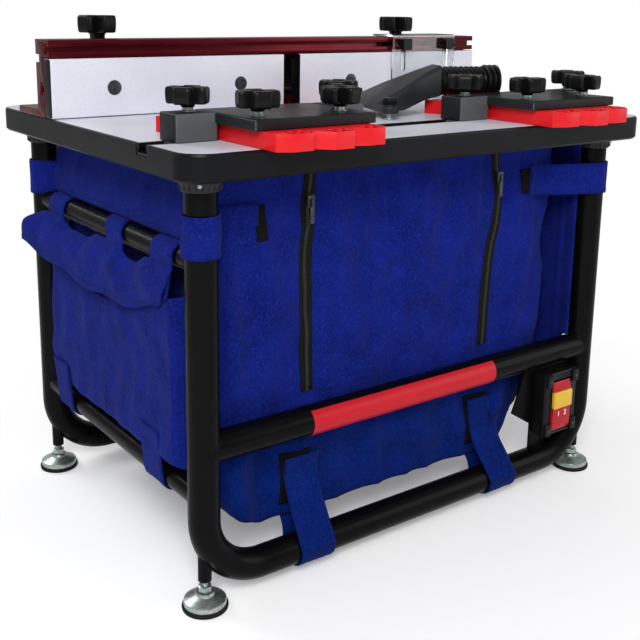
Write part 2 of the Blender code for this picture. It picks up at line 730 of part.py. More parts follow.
def bit_guard():
    """A sloping hood on two studs, open underneath, with a ribbed spigot for a hose."""
    ridge_u, ridge_z = 0.090, 0.663
    sections = (
        (-0.022, 0.066, EAR_BOTTOM, 0.6125),
        (0.020, 0.056, EAR_BOTTOM, 0.6325),
        (0.062, 0.036, EAR_BOTTOM + 0.0125, 0.6520),
        (ridge_u, 0.028, EAR_BOTTOM + 0.018, ridge_z),
    )

    def rings(shrink, lift):
        made = []
        for u, half, bottom, top in sections:
            wide, low, crown = half - shrink, bottom - lift, top - shrink
            flat = [(-wide, low), (-wide, crown - 0.006), (-wide + 0.006, crown)]
            flat += [(-v, z) for v, z in reversed(flat)]
            shift = shrink if u < 0 else -shrink if u == ridge_u else 0
            made.append([(u + shift, v, z) for v, z in flat])
        return made

    at = (*HOOD_AT, 0)
    hood = placed("bit_guard", lofted("bit_guard", rings(0, 0)), "dark_moulding", at, HOOD_TURN)
    boolean(hood, cutter("hood_hollow", lofted("hood_hollow", rings(0.0035, 0.02)), at, HOOD_TURN))
    ear = rounded_rectangle(0.028, 2 * EAR_REACH + 0.028, 0.0138, (-0.012, 0), 5)
    shape = extruded("hood_ears", [ear], EAR_BOTTOM, EAR_BOTTOM + 0.010)
    boolean(hood, cutter("hood_ears", shape, at, HOOD_TURN), "UNION")
    inside = rounded_rectangle(0.034, 2 * 0.050, 0.004, (0.010, 0), 2)
    chip_way = extruded("chip_way", [inside], EAR_BOTTOM - 0.01, EAR_BOTTOM + 0.0095)
    boolean(hood, cutter("chip_way", chip_way, at, HOOD_TURN))
    for side in (-1, 1):
        hole = rod("ear_hole", 0.0042, 0.58, 0.64, 16)
        hole.transform(Matrix.Translation((-0.012, side * EAR_REACH, 0)))
        boolean(hood, cutter("ear_hole", hole, at, HOOD_TURN))
    outlet = rod("hood_outlet", 0.0165, ridge_u - 0.02, ridge_u + 0.02, 24)
    along = Matrix.Translation((0, 0, 0.6385)) @ Matrix.Rotation(math.radians(90), 4, "Y")
    outlet.transform(along)
    boolean(hood, cutter("hood_outlet", outlet, at, HOOD_TURN))

    start = ridge_u + FIT
    end = start + 0.006
    outer = [(RIB_RADIUS, start), (RIB_RADIUS, end)]
    for _ in range(RIBS):
        outer += [(RIB_RADIUS - 0.0035, end + RIB_PITCH * 0.4), (RIB_RADIUS, end + RIB_PITCH)]
        end += RIB_PITCH
    for _ in range(END_RINGS):
        outer += [(RIB_RADIUS - 0.0045, end + 0.0025), (RING_END_RADIUS, end + 0.0040)]
        end += RING_PITCH
        outer.append((RING_END_RADIUS, end))
    profile = [(SPIGOT_BORE, end), *reversed(outer), (SPIGOT_BORE, start)]
    sweep = turned("guard_spigot", profile, "black_moulding", (0, 0, 0), 18, closed=True)
    sweep.parent = hood
    sweep.location = (0, 0, 0.6385)
    sweep.rotation_euler = (0, math.radians(90), 0)

    for side, word in ((-1, "front"), (1, "rear")):
        u, v = -0.012, side * EAR_REACH
        spot = Vector((u, v)) @ Matrix.Rotation(-HOOD_TURN, 2)
        top = EAR_BOTTOM + 0.010 + FIT
        stud = [
            (0, top + 0.012),
            (0.0095, top + 0.0115),
            (0.0100, top + 0.010),
            (0.0100, top + 0.002),
            (0.0085, top),
            (0.0034, top),
            (0.0034, ON_TABLE + 0.003),
            (0.0060, ON_TABLE + 0.003),
            (0.0060, ON_TABLE),
            (0, ON_TABLE),
        ]
        at_stud = (HOOD_AT[0] + spot.x, HOOD_AT[1] + spot.y, 0)
        turned(f"guard_screw_{word}", stud, "zinc_plate", at_stud, 16)


def switch():
    left, right = SWITCH_X - SWITCH_WIDTH / 2, SWITCH_X + SWITCH_WIDTH / 2
    back = -LEG_Y - 0.0018 - FIT
    mesh = block("switch_box", (left, SWITCH_FRONT, SWITCH_BOTTOM), (right, back, SWITCH_TOP))
    box = placed("switch_box", mesh, "black_moulding")
    rounded(box, 0.003, 2)
    wide, tall, proud = GUARD_PAD
    for x in (left + EDGE_BREAK, right - EDGE_BREAK - wide):
        for z in (SWITCH_BOTTOM + EDGE_BREAK, SWITCH_TOP - EDGE_BREAK - tall):
            low, high = (x, SWITCH_FRONT - proud, z), (x + wide, SWITCH_FRONT + 0.01, z + tall)
            shape = block("guard_pad", low, high, EDGE_BREAK)
            boolean(box, cutter("guard_pad", shape), "UNION")
    half = PADDLE_WIDTH / 2
    low, high = SWITCH_BOTTOM + 0.008, SWITCH_TOP - 0.014
    well = block(
        "paddle_well",
        (SWITCH_X - half - 0.0015, SWITCH_FRONT - 0.02, low - 0.002),
        (SWITCH_X + half + 0.0015, SWITCH_FRONT + 0.012, high + 0.0015),
    )
    boolean(box, cutter("paddle_well", well))

    hinge = (SWITCH_X, SWITCH_FRONT + 0.004, high - 0.006)
    outline = [
        (0.0060, -0.0765),
        (-0.0060, -0.0765),
        (-0.0085, -0.070),
        (-0.0085, -0.010),
        (-0.0045, 0.004),
        (-0.0020, 0.0058),
        (0.0050, 0.0058),
    ]
    mesh = extruded("switch_paddle", [outline], -half, half, "YZ")
    paddle = placed("switch_paddle", mesh, "switch_red", hinge)
    rounded(paddle, 0.0012, 1)
    key_low, key_high = -0.039, -0.011
    across = half + 0.01
    slot = block("key_slot", (-across, -0.04, key_low - FIT), (across, -0.0030, key_high + FIT))
    boolean(paddle, cutter("key_slot", slot, hinge))
    mesh = block("safety_key", (-half, -0.0115, key_low), (half, -0.0033, key_high))
    key = placed("safety_key", mesh, "key_yellow", hinge)
    rounded(key, 0.0015, 1)


def bag():
    """Thin panels inside the frame, with a pocket hung outside on the left."""
    top = TABLE_BOTTOM - 0.002
    floor = 0.080
    side = BAG_SIDE - CLOTH - FIT
    front = [(-side, top), (-side, 0.128), (-0.262, 0.074), (0.204, 0.080), (0.262, 0.200), (side, 0.235), (side, top)]
    for sy, word in ((-1, "front"), (1, "rear")):
        ends = sorted((sy * -BAG_FRONT, sy * (-BAG_FRONT - CLOTH)))
        mesh = extruded(f"bag_{word}_panel", [front], *ends, "XZ")
        placed(f"bag_{word}_panel", mesh, "blue_fabric")
    inner = -BAG_FRONT - CLOTH - FIT
    for sx, word in ((-1, "left"), (1, "right")):
        ends = sorted((sx * (BAG_SIDE - CLOTH), sx * BAG_SIDE))
        low = 0.132 if sx < 0 else 0.240
        mesh = block(f"bag_{word}_panel", (ends[0], -inner, low), (ends[1], inner, top))
        placed(f"bag_{word}_panel", mesh, "blue_fabric")
    slope_left = [(-side + 0.0045, 0.131), (-0.262, 0.078)]
    slope_right = [(0.203, 0.084), (0.261, 0.202), (side - 0.003, 0.238)]
    upper = [*slope_left, *slope_right]
    lower = [(x, z + CLOTH + 0.0012) for x, z in reversed(upper)]
    mesh = extruded("bag_floor", [[*upper, *lower]], -inner + FIT, inner - FIT, "XZ")
    placed("bag_floor", mesh, "blue_fabric")

    outer = [(-0.3372, 0.428), (-0.3960, 0.376), (-0.3760, 0.344), (-0.3760, 0.200), (-0.3372, 0.176)]
    inner_line = [(-0.3372, 0.4238), (-0.3918, 0.3755), (-0.3730, 0.3450), (-0.3730, 0.2015), (-0.3372, 0.1795)]
    outline = [*outer, *reversed(inner_line)]
    pocket = extruded("bag_side_pocket", [outline], -0.215, 0.205, "XZ")
    placed("bag_side_pocket", pocket, "blue_fabric")

    for x, word in zip(ZIP_X, ("left", "right")):
        y = BAG_FRONT - FIT
        mesh = block(f"zip_slider_{word}", (-0.0055, y - 0.0045, -0.011), (0.0055, y, 0.007))
        slider = placed(f"zip_slider_{word}", mesh, "zinc_plate", (x, 0, ZIP_Z))
        rounded(slider, 0.0012, 1)


frame()
switch_bracket()
table()
mitre_track()
insert()
HEAD = fence_extrusion()
face_boards()
fence_clamps()
dust_port()
clear_guard(HEAD)
for side_word, feather_x in zip(("left", "right"), FEATHER_X):
    featherboard(side_word, feather_x)
bit_guard()
switch()
bag()
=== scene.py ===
# %% [markdown]
# # A router table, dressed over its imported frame
# The solids of the stand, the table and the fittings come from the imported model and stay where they
# are. This script gives every surface its finish, replaces the plain bag panels by sewn cloth, and
# adds what is too small for the solids: stitches, zip teeth, welds, threads, washers and screws.
# Places are in metres. The profiles of small turned or sawn shapes are in millimetres.

# %% Load the frame
import json
import math

import bmesh
import bpy
from mathutils import Matrix, Vector, noise
from mathutils.bvhtree import BVHTree


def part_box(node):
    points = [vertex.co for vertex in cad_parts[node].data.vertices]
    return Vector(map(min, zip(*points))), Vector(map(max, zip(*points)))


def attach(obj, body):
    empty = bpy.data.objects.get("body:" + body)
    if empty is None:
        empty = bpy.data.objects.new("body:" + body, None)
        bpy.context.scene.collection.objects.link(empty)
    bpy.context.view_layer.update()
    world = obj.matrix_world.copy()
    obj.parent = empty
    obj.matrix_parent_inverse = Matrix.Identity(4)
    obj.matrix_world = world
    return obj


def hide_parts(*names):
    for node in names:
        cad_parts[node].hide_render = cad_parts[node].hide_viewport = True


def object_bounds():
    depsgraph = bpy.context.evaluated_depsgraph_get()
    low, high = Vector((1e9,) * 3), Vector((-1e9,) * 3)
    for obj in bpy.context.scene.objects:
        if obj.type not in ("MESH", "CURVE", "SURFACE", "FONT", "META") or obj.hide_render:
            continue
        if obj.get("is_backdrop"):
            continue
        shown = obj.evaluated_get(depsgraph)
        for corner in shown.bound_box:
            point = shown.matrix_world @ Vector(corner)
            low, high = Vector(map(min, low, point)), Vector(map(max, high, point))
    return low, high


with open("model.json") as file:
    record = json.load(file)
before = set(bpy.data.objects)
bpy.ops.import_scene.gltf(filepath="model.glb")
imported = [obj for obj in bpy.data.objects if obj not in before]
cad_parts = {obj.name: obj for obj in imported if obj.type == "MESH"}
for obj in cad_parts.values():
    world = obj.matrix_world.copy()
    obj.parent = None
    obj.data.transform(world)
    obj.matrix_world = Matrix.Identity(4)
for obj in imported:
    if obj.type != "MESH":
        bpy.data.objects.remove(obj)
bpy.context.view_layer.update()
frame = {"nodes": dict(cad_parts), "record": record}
scene = bpy.context.scene
TABLE_Y = 0.0225

# %% [markdown]
# ## The camera and the studio
# The photograph looks at the near left corner from a little above the table. Its upright edges stay
# upright, so the camera is tilted down only as far as it must be, and a small shift lifts the frame.

# %% Camera
CAMERA_AT = (-0.911, -1.229 + TABLE_Y, 0.752)
YAW, PITCH, ROLL = (math.radians(v) for v in (36.52, 12.54, -0.87))
SENSOR_MM, FOCAL_PIXELS, PICTURE_PIXELS, LENS_SHIFT = 36, 992.4, 640, -0.15

forward = Vector((math.sin(YAW) * math.cos(PITCH), math.cos(YAW) * math.cos(PITCH), -math.sin(PITCH)))
level_right = Vector((math.cos(YAW), -math.sin(YAW), 0))
level_down = forward.cross(level_right)
right = level_right * math.cos(ROLL) + level_down * math.sin(ROLL)
down = level_down * math.cos(ROLL) - level_right * math.sin(ROLL)
lens = bpy.data.cameras.new("camera")
lens.lens = FOCAL_PIXELS * SENSOR_MM / PICTURE_PIXELS
lens.sensor_width = SENSOR_MM
lens.shift_y = LENS_SHIFT
camera = bpy.data.objects.new("camera", lens)
camera.matrix_world = Matrix((right, -down, -forward)).transposed().to_4x4()
camera.location = CAMERA_AT
scene.collection.objects.link(camera)
scene.camera = camera
scene.view_settings.view_transform = "Standard"
print("camera", round(lens.lens, 1), "mm")


# %% [markdown]
# ## Small helpers for every node tree
# Colours are written as the sRGB hex values that the eye reads off a screen, and one function makes
# them linear. One function adds a node, sets what is named and links what is another node's output.
# The others are short names for the nodes that come again and again.

# %% Colours and nodes
def linear(hexa):
    channels = [int(hexa[i : i + 2], 16) / 255 for i in (0, 2, 4)]
    return [c / 12.92 if c <= 0.04045 else ((c + 0.055) / 1.055) ** 2.4 for c in channels] + [1.0]


def add(tree, kind, inputs=None, **settings):
    node = tree.nodes.new(kind)
    for name, value in settings.items():
        setattr(node, name, value)
    for name, value in (inputs or {}).items():
        if isinstance(value, bpy.types.NodeSocket):
            tree.links.new(value, node.inputs[name])
        else:
            node.inputs[name].default_value = value
    return node


def calc(tree, operation, *values):
    return add(tree, "ShaderNodeMath", dict(enumerate(values)), operation=operation).outputs[0]


def mixed(tree, share, *colours):
    """A colour between two, each a hex value or another node's output."""
    a, b = (linear(c) if isinstance(c, str) else c for c in colours)
    return add(tree, "ShaderNodeMix", {"Factor": share, "A": a, "B": b}, data_type="RGBA").outputs["Result"]


def ranged(tree, value, low, high, to_low=0.0, to_high=1.0):
    limits = {"From Min": low, "From Max": high, "To Min": to_low, "To Max": to_high}
    return add(tree, "ShaderNodeMapRange", {"Value": value, **limits}).outputs["Result"]


def clouds(tree, where, size_mm, detail, **more):
    """Noise whose clouds are about as wide as the size."""
    inputs = {"Vector": where, "Scale": 1000 / size_mm, "Detail": detail, **more}
    return add(tree, "ShaderNodeTexNoise", inputs).outputs["Fac"]


def bump(tree, height, strength, mm, **more):
    inputs = {"Height": height, "Strength": strength, "Distance": mm / 1000, **more}
    return add(tree, "ShaderNodeBump", inputs).outputs["Normal"]


def new_material(name, **sockets):
    """A material, its tree, its shader and the place on the object, for textures."""
    made = bpy.data.materials.new(name)
    made.use_nodes = True
    shader = made.node_tree.nodes["Principled BSDF"]
    for socket, value in sockets.items():
        shader.inputs[socket.replace("_", " ")].default_value = value
    return made, made.node_tree, shader, add(made.node_tree, "ShaderNodeTexCoord").outputs["Object"]


def feed(tree, shader, **outputs):
    for socket, output in outputs.items():
        tree.links.new(output, shader.inputs[socket.replace("_", " ")])


# %% [markdown]
# ## Floor and light
# A large pale floor and a white world stand for the studio. The world is bright only for the camera,
# also through clear sheet, and the lamps light the object at a level where a colour renders as it is
# written. For the camera the floor is lifted a little and fades to white away from the object.

# %% Studio
WHITE = (1, 1, 1, 1)
FLOOR_HALF, FLOOR_LIFT, FADE_FROM, FADE_TO, WORLD_LEVEL = 9, 0.20, 0.42, 1.00, 0.36
studio_paper, tree, shader, where = new_material("studio_paper", Roughness=0.9, Emission_Color=WHITE)
grain = add(tree, "ShaderNodeTexNoise", {"Scale": 3.0, "Detail": 2.0}).outputs["Fac"]
from_middle = add(tree, "ShaderNodeVectorMath", {0: where}, operation="LENGTH").outputs["Value"]
to_lens = add(tree, "ShaderNodeLightPath").outputs["Is Camera Ray"]
lift = calc(tree, "MULTIPLY", to_lens, FLOOR_LIFT)
feed(tree, shader, Base_Color=mixed(tree, grain, "F8F8F9", "FCFCFC"), Emission_Strength=lift)
fade = calc(tree, "MULTIPLY", ranged(tree, from_middle, FADE_FROM, FADE_TO), to_lens)
white = add(tree, "ShaderNodeEmission", {"Color": WHITE, "Strength": 1.0})
paper = add(tree, "ShaderNodeMixShader", {0: fade, 1: shader.outputs[0], 2: white.outputs[0]})
feed(tree, tree.nodes["Material Output"], Surface=paper.outputs[0])
plane = bpy.data.meshes.new("studio_floor")
corners = [(x * FLOOR_HALF, y * FLOOR_HALF, 0) for x, y in ((-1, -1), (1, -1), (1, 1), (-1, 1))]
plane.from_pydata(corners, [], [(0, 1, 2, 3)])
plane.materials.append(studio_paper)
floor = bpy.data.objects.new("studio_floor", plane)
scene.collection.objects.link(floor)
floor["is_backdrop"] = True

world = bpy.data.worlds.new("studio")
scene.world = world
world.use_nodes = True
tree = world.node_tree
rays = add(tree, "ShaderNodeLightPath").outputs
seen = calc(tree, "MAXIMUM", rays["Is Camera Ray"], rays["Is Transmission Ray"])
feed(tree, tree.nodes["Background"], Strength=calc(tree, "MAXIMUM", seen, WORLD_LEVEL))
tree.nodes["Background"].inputs["Color"].default_value = WHITE


def lamp(name, place, target, watts, size):
    light = bpy.data.lights.new(name, "AREA")
    light.energy = watts
    light.size = size
    made = bpy.data.objects.new(name, light)
    made.location = place
    made.rotation_euler = (Vector(target) - Vector(place)).to_track_quat("-Z", "Y").to_euler()
    scene.collection.objects.link(made)


lamp("key_light", (-1.9, -2.3, 2.4), (0, 0, 0.4), 84, 1.2)
lamp("fill_light", (2.3, -2.2, 1.3), (0, 0, 0.4), 20, 1.8)
lamp("back_light", (-1.2, 2.2, 2.3), (0, 0, 0.5), 30, 1.5)
print("studio ready")


# %% [markdown]
# ## Finishes of the hard pieces
# Moulded plastic and powder coat share one build: a fine grain that breaks the highlight, and a slow
# drift of tone and roughness as real surfaces have from handling. Sizes are given in millimetres. A
# grain under about a millimetre is drawn at that size, because nothing finer would show at this
# distance.

# %% Grained finishes
DRIFT_MM = 60


def grained(name, dark, light, rough, grain_mm, bump_mm, shine=0.5, metal=0.0):
    made, tree, shader, where = new_material(name, Specular_IOR_Level=shine, Metallic=metal)
    drift = clouds(tree, where, DRIFT_MM, 4.0)
    fleck = clouds(tree, where, grain_mm, 3.0)
    share = calc(tree, "MULTIPLY_ADD", fleck, 0.3, calc(tree, "MULTIPLY", drift, 0.7))
    polish = ranged(tree, drift, 0.3, 0.7, rough - 0.06, rough + 0.06)
    relief = bump(tree, fleck, 0.6, bump_mm)
    feed(tree, shader, Base_Color=mixed(tree, share, dark, light), Roughness=polish, Normal=relief)
    return made


# Satin powder coat on steel tube: nearly black, with a soft highlight and orange-peel of about 2 mm.
powder_coat = grained("black_powder_coat", "050506", "0B0B0C", 0.26, 2.0, 0.06, shine=0.08)
# Glass-filled nylon, moulded: greys with a sparked texture.
grey_nylon = grained("moulded_grey_nylon", "1C1E20", "2C2F32", 0.46, 1.2, 0.12, shine=0.25)
# A paler copy of the plate's moulding, for the front faces of the end blocks only: painted light.
painted_light_nylon = grained("moulded_nylon_painted_light", "43474A", "5C6164", 0.48, 1.2, 0.12, shine=0.3)
plate_nylon = grained("moulded_charcoal_nylon", "141517", "212325", 0.48, 1.2, 0.12, shine=0.2)
guard_nylon = grained("moulded_graphite_nylon", "1B1D20", "2B2E32", 0.42, 1.2, 0.12, shine=0.3)
# ABS for knobs and housings: black, slightly glossier where fingers polish it.
black_abs = grained("moulded_black_abs", "09090A", "131314", 0.34, 1.4, 0.10, shine=0.18)
# PVC edging, pressed on hot: satin black with faint ripples.
black_pvc = grained("black_pvc_edging", "0A0B0D", "131417", 0.36, 5.0, 0.06, shine=0.14)
# Anodised aluminium: a dyed skin over metal, with a tight highlight.
black_anodised = grained("black_anodised_aluminium", "0F1012", "1B1C1F", 0.34, 1.0, 0.05, metal=0.6)
red_anodised = grained("red_anodised_aluminium", "480610", "6E0A1C", 0.26, 1.0, 0.04, metal=0.75)
# Coloured mouldings: the combs, the switch paddle and its key.
red_abs = grained("moulded_red_abs", "C8101A", "E81C24", 0.38, 1.3, 0.10, shine=0.3)
switch_abs = grained("moulded_signal_red_abs", "960A16", "BC1222", 0.30, 1.4, 0.08, shine=0.3)
yellow_abs = grained("moulded_yellow_abs", "D3A31E", "EFC53C", 0.34, 1.4, 0.08)
# Rubber of the foot pads: dull and dark.
rubber = grained("black_rubber", "0C0C0C", "1A1A1A", 0.72, 1.4, 0.15, shine=0.2)
# Films and ink are thin and smooth; the tapes are rough, and the zip's teeth are bare nylon.
red_vinyl = grained("red_vinyl_film", "B31220", "C81B29", 0.34, 3.0, 0.02, shine=0.2)
plate_film = grained("black_satin_film", "101012", "1A1B1D", 0.34, 3.0, 0.02, shine=0.25)
hook_tape = grained("hook_tape_nylon", "060607", "121213", 0.9, 1.1, 0.5, shine=0.1)
zip_tape = grained("zip_tape_polyester", "0C0D0B", "1A1B17", 0.85, 1.0, 0.25, shine=0.1)
zip_nylon = grained("zip_coil_nylon", "1A1B17", "33342D", 0.45, 1.0, 0.05)
white_print = grained("white_print_ink", "E6E6E4", "F4F4F2", 0.45, 2.0, 0.02)
print(len(bpy.data.materials), "materials so far")


# %% [markdown]
# ## Laminate and bright metal
# The board is faced with a melamine laminate: off-white with a faint cool speckle and a satin sheen.
# Milled aluminium shows fine straight cutter lines, and zinc plating a cloudy, slightly green bloom.
# All of them are fine marks under a slow bloom.

# %% Laminate, milled aluminium, zinc and clear sheet
def bloomed(tree, shader, fine, bloom, dark, light, polish, strength, mm):
    tone = ranged(tree, calc(tree, "MULTIPLY", fine, bloom), 0.12, 0.40)
    colour = mixed(tree, tone, dark, light)
    feed(tree, shader, Base_Color=colour, Roughness=polish, Normal=bump(tree, fine, strength, mm))


SATIN_COAT = {"Coat_Weight": 0.15, "Coat_Roughness": 0.25}
white_laminate, tree, shader, where = new_material("melamine_laminate", **SATIN_COAT)
speckle = clouds(tree, where, 1.6, 3.0, Roughness=0.7)
cloud = clouds(tree, where, 120, 3.0)
polish = ranged(tree, cloud, 0, 1, 0.30, 0.46)
bloomed(tree, shader, speckle, cloud, "CFD0DC", "E2E3EC", polish, 0.3, 0.05)


def lined_metal(name, dark, light, rough, across_mm, along_mm, bloom_mm):
    """Bright metal with fine lines along X and a slow bloom over them."""
    made, tree, shader, where = new_material(name, Metallic=0.9)
    scale = (1000 / along_mm, 1000 / across_mm, 1000 / across_mm)
    stretched = add(tree, "ShaderNodeMapping", {"Vector": where, "Scale": scale}).outputs["Vector"]
    lines = clouds(tree, stretched, 1000, 2.0)
    polish = ranged(tree, lines, 0, 1, rough - 0.08, rough + 0.10)
    bloomed(tree, shader, lines, clouds(tree, where, bloom_mm, 4.0), dark, light, polish, 0.4, 0.04)
    return made


milled_aluminium = lined_metal("milled_aluminium", "A9ACB2", "D5D7DC", 0.34, 0.9, 60, 70)
zinc_plate = lined_metal("zinc_plated_steel", "8E9C95", "C8D2CC", 0.30, 2.5, 6, 22)
dark_steel = lined_metal("oiled_black_steel", "33363A", "5A5E62", 0.40, 1.5, 8, 12)

# Clear polycarbonate: bent sheet, with a faint haze where it was wiped.
clear_sheet, tree, shader, where = new_material(
    "clear_polycarbonate", Transmission_Weight=1.0, IOR=1.45, Base_Color=linear("F2F5F6")
)
feed(tree, shader, Roughness=ranged(tree, clouds(tree, where, 25, 5.0), 0, 1, 0.02, 0.12))
print("laminate, metals and clear sheet ready")


# %% [markdown]
# ## The bag's cloth
# The bag is a plain-woven nylon, royal blue, a little faded in small random flecks. The weave follows the
# cut of each piece, so it is drawn on the piece's own UV map, which holds metres along and across the
# cloth. Real threads lie about 0.6 mm apart; they are drawn 1.8 mm apart so that they show.

# %% Woven nylon
THREAD = 0.0018
WAVE = 2 * math.pi / (20 * THREAD)
DULL = {"Roughness": 0.85, "Specular_IOR_Level": 0.04, "Sheen_Weight": 0.02}


def woven(name, dark, light, faded):
    made, tree, shader, where = new_material(name, **DULL)
    laid = add(tree, "ShaderNodeUVMap", uv_map="cloth").outputs["UV"]
    wave = {"Vector": laid, "Scale": WAVE, "Distortion": 0.6, "Detail Scale": 0.4}
    warp, weft = (add(tree, "ShaderNodeTexWave", wave, bands_direction=way).outputs["Fac"] for way in "XY")
    cloud = clouds(tree, where, 45, 6.0, Roughness=0.65)
    slub = clouds(tree, where, 3.0, 3.0, Roughness=0.7)
    crease = clouds(tree, where, 22, 3.0, Distortion=1.2)
    base = mixed(tree, ranged(tree, cloud, 0.3, 0.7), dark, light)
    colour = mixed(tree, ranged(tree, slub, 0.50, 0.72, 0.0, 0.70), base, faded)
    fine = bump(tree, calc(tree, "MULTIPLY", warp, weft), 0.5, 0.35)
    feed(tree, shader, Base_Color=colour, Normal=bump(tree, crease, 0.55, 2.2, Normal=fine))
    return made


blue_nylon = woven("woven_blue_nylon", "0A155A", "111F77", "1C319C")
# The part of the bag below the cross rail, and its straps, take a darker, less red copy of the cloth:
# painted shade.
painted_shade_nylon = woven("woven_blue_nylon_painted_shade", "03144E", "061E68", "0C3089")
blue_thread = grained("blue_sewing_thread", "0D1456", "1E2B92", 0.7, 1.0, 0.05, shine=0.1)
print("cloth ready")

# %% [markdown]
# ## Finishes on the solids
# A solid whose shape is already right stays and takes its finish here, by the slot that the record
# gives it.

# %% Materials by slot
BY_SLOT = {
    "black_powder_coat": powder_coat,
    "grey_moulding": grey_nylon,
    "dark_moulding": plate_nylon,
    "black_moulding": black_abs,
    "white_laminate": white_laminate,
    "black_edging": black_pvc,
    "black_anodised": black_anodised,
    "milled_aluminium": milled_aluminium,
    "red_moulding": red_abs,
    "red_anodised": red_anodised,
    "zinc_plate": zinc_plate,
    "clear_sheet": clear_sheet,
    "switch_red": switch_abs,
    "key_yellow": yellow_abs,
    "blue_fabric": blue_nylon,
}
slot_of = {row["node"]: row["material_slot"] for row in frame["record"]["subparts"]}
body_of = {n: b for b, nodes in frame["record"]["behaviour"]["bodies"].items() for n in nodes}
for node, solid in frame["nodes"].items():
    solid.data.materials.clear()
    solid.data.materials.append(BY_SLOT[slot_of[node]])
print(len(slot_of), "solids finished")


# %% [markdown]
# ## Making a piece
# Every piece below is drawn in the table's own coordinates, whose middle lies a little behind the
# frame's origin, and is moved there at the end, in its mesh. It then rides on the body that carries
# it.

# %% Piece helpers
def shaded(mesh, angle=35):
    mesh.shade_smooth()
    mesh.set_sharp_from_angle(angle=math.radians(angle))
    return mesh


def drawn(holder):
    """The mesh that an object ends up with; the object itself is removed."""
    scene.collection.objects.link(holder)
    graph = bpy.context.evaluated_depsgraph_get()
    made = bpy.data.meshes.new_from_object(holder.evaluated_get(graph))
    bpy.data.objects.remove(holder, do_unlink=True)
    return made


def baked(mesh, kind, **settings):
    """The mesh with one modifier applied."""
    holder = bpy.data.objects.new("holder", mesh)
    step = holder.modifiers.new(kind.lower(), kind)
    for name, value in settings.items():
        setattr(step, name, value)
    return drawn(holder)


def piece(name, mesh, finish, body="stand", stands_for=(), on_table=True):
    """Shows a mesh; its finish is a slot of the record, or a material that has no slot."""
    if on_table:
        mesh.transform(Matrix.Translation((0, TABLE_Y, 0)))
    mesh.name = name
    mesh.materials.clear()
    mesh.materials.append(BY_SLOT.get(finish, finish))
    made = bpy.data.objects.new(name, mesh)
    scene.collection.objects.link(made)
    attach(made, body)
    if stands_for:
        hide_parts(*stands_for)
    return made


def second_material(mesh, material, chosen):
    """Gives the chosen faces of a mesh another material."""
    mesh.materials.append(material)
    for face in mesh.polygons:
        face.material_index = int(chosen(face))


def from_bmesh(shape):
    bmesh.ops.remove_doubles(shape, verts=shape.verts, dist=1e-6)
    bmesh.ops.recalc_face_normals(shape, faces=shape.faces)
    mesh = bpy.data.meshes.new("mesh")
    shape.to_mesh(mesh)
    shape.free()
    return shaded(mesh)


def cleaned(mesh):
    shape = bmesh.new()
    shape.from_mesh(mesh)
    return from_bmesh(shape)


def merged(meshes):
    """Several meshes as one."""
    shape = bmesh.new()
    for mesh in meshes:
        shape.from_mesh(mesh)
    made = bpy.data.meshes.new("mesh")
    shape.to_mesh(made)
    shape.free()
    return made


# %% [markdown]
# Three plain makers do most small shapes: a profile turned round an axis, a tube swept along a line
# and a small box.

# %% Shape makers
def joined(shape, rows, steps):
    """Faces between rings of points; a ring may also be a single point."""
    for near, far in zip(rows, rows[1:]):
        for i in range(steps):
            j = (i + 1) % steps
            corners = [near[i % len(near)], near[j % len(near)], far[j % len(far)], far[i % len(far)]]
            shape.faces.new(list(dict.fromkeys(corners)))


def turned(profile, at=(0, 0, 0), steps=48, axis=None):
    """A profile of (radius, height) in mm, turned round the upright through a point, or another axis."""
    shape = bmesh.new()
    turns = [2 * math.pi * i / steps for i in range(steps)]
    rows = []
    for radius, height in profile:
        ring = [(math.cos(t), math.sin(t)) for t in turns] if radius else [(0, 0)]
        reach, up = radius / 1000, height / 1000
        rows.append([shape.verts.new((reach * x, reach * y, up)) for x, y in ring])
    joined(shape, rows, steps)
    mesh = from_bmesh(shape)
    if axis:
        mesh.transform(Vector(axis).to_track_quat("Z", "Y").to_matrix().to_4x4())
    mesh.transform(Matrix.Translation(at))
    return mesh


def curve_through(lines, closed=False):
    curve = bpy.data.curves.new("line", "CURVE")
    curve.dimensions = "3D"
    for line in lines:
        spline = curve.splines.new("POLY")
        spline.points.add(len(line) - 1)
        for place, point in zip(spline.points, line):
            place.co = (*point, 1)
        spline.use_cyclic_u = closed
    return curve


def swept(points, radius):
    """A round tube with closed ends along a line of points."""
    curve = curve_through([points])
    curve.bevel_depth = radius
    curve.bevel_resolution = 10
    curve.use_fill_caps = True
    return cleaned(drawn(bpy.data.objects.new("tube", curve)))


def slab(width, depth, height, bevel, at=(0, 0, 0)):
    """A small box with broken edges, in mm, round a point."""
    shape = bmesh.new()
    size = Matrix.Diagonal((width / 1000, depth / 1000, height / 1000, 1))
    bmesh.ops.create_cube(shape, size=1, matrix=size)
    bmesh.ops.bevel(shape, geom=shape.edges[:], offset=bevel / 1000, segments=1, affect="EDGES")
    mesh = from_bmesh(shape)
    mesh.transform(Matrix.Translation(at))
    return mesh


def pill(length, radius):
    """A short rounded rod along Z, in mm, for a stitch or a weld ripple."""
    half = length / 2
    ends = [(0, -half), (radius * 0.7, -half * 0.8), (radius, -half * 0.4)]
    return turned([*ends, *[(r, -z) for r, z in reversed(ends)]], steps=8)


def arc(centre, radius, start, end, steps):
    turns = [math.radians(start + (end - start) * i / steps) for i in range(steps + 1)]
    return [(centre[0] + radius * math.cos(t), centre[1] + radius * math.sin(t)) for t in turns]


# %% [markdown]
# ## Tubes of the stand
# The two U frames are drawn again with finer bends over their solids, and the rails with rounder
# sides. Round tube is a curve with a bevel, which keeps the bend's radius exact.

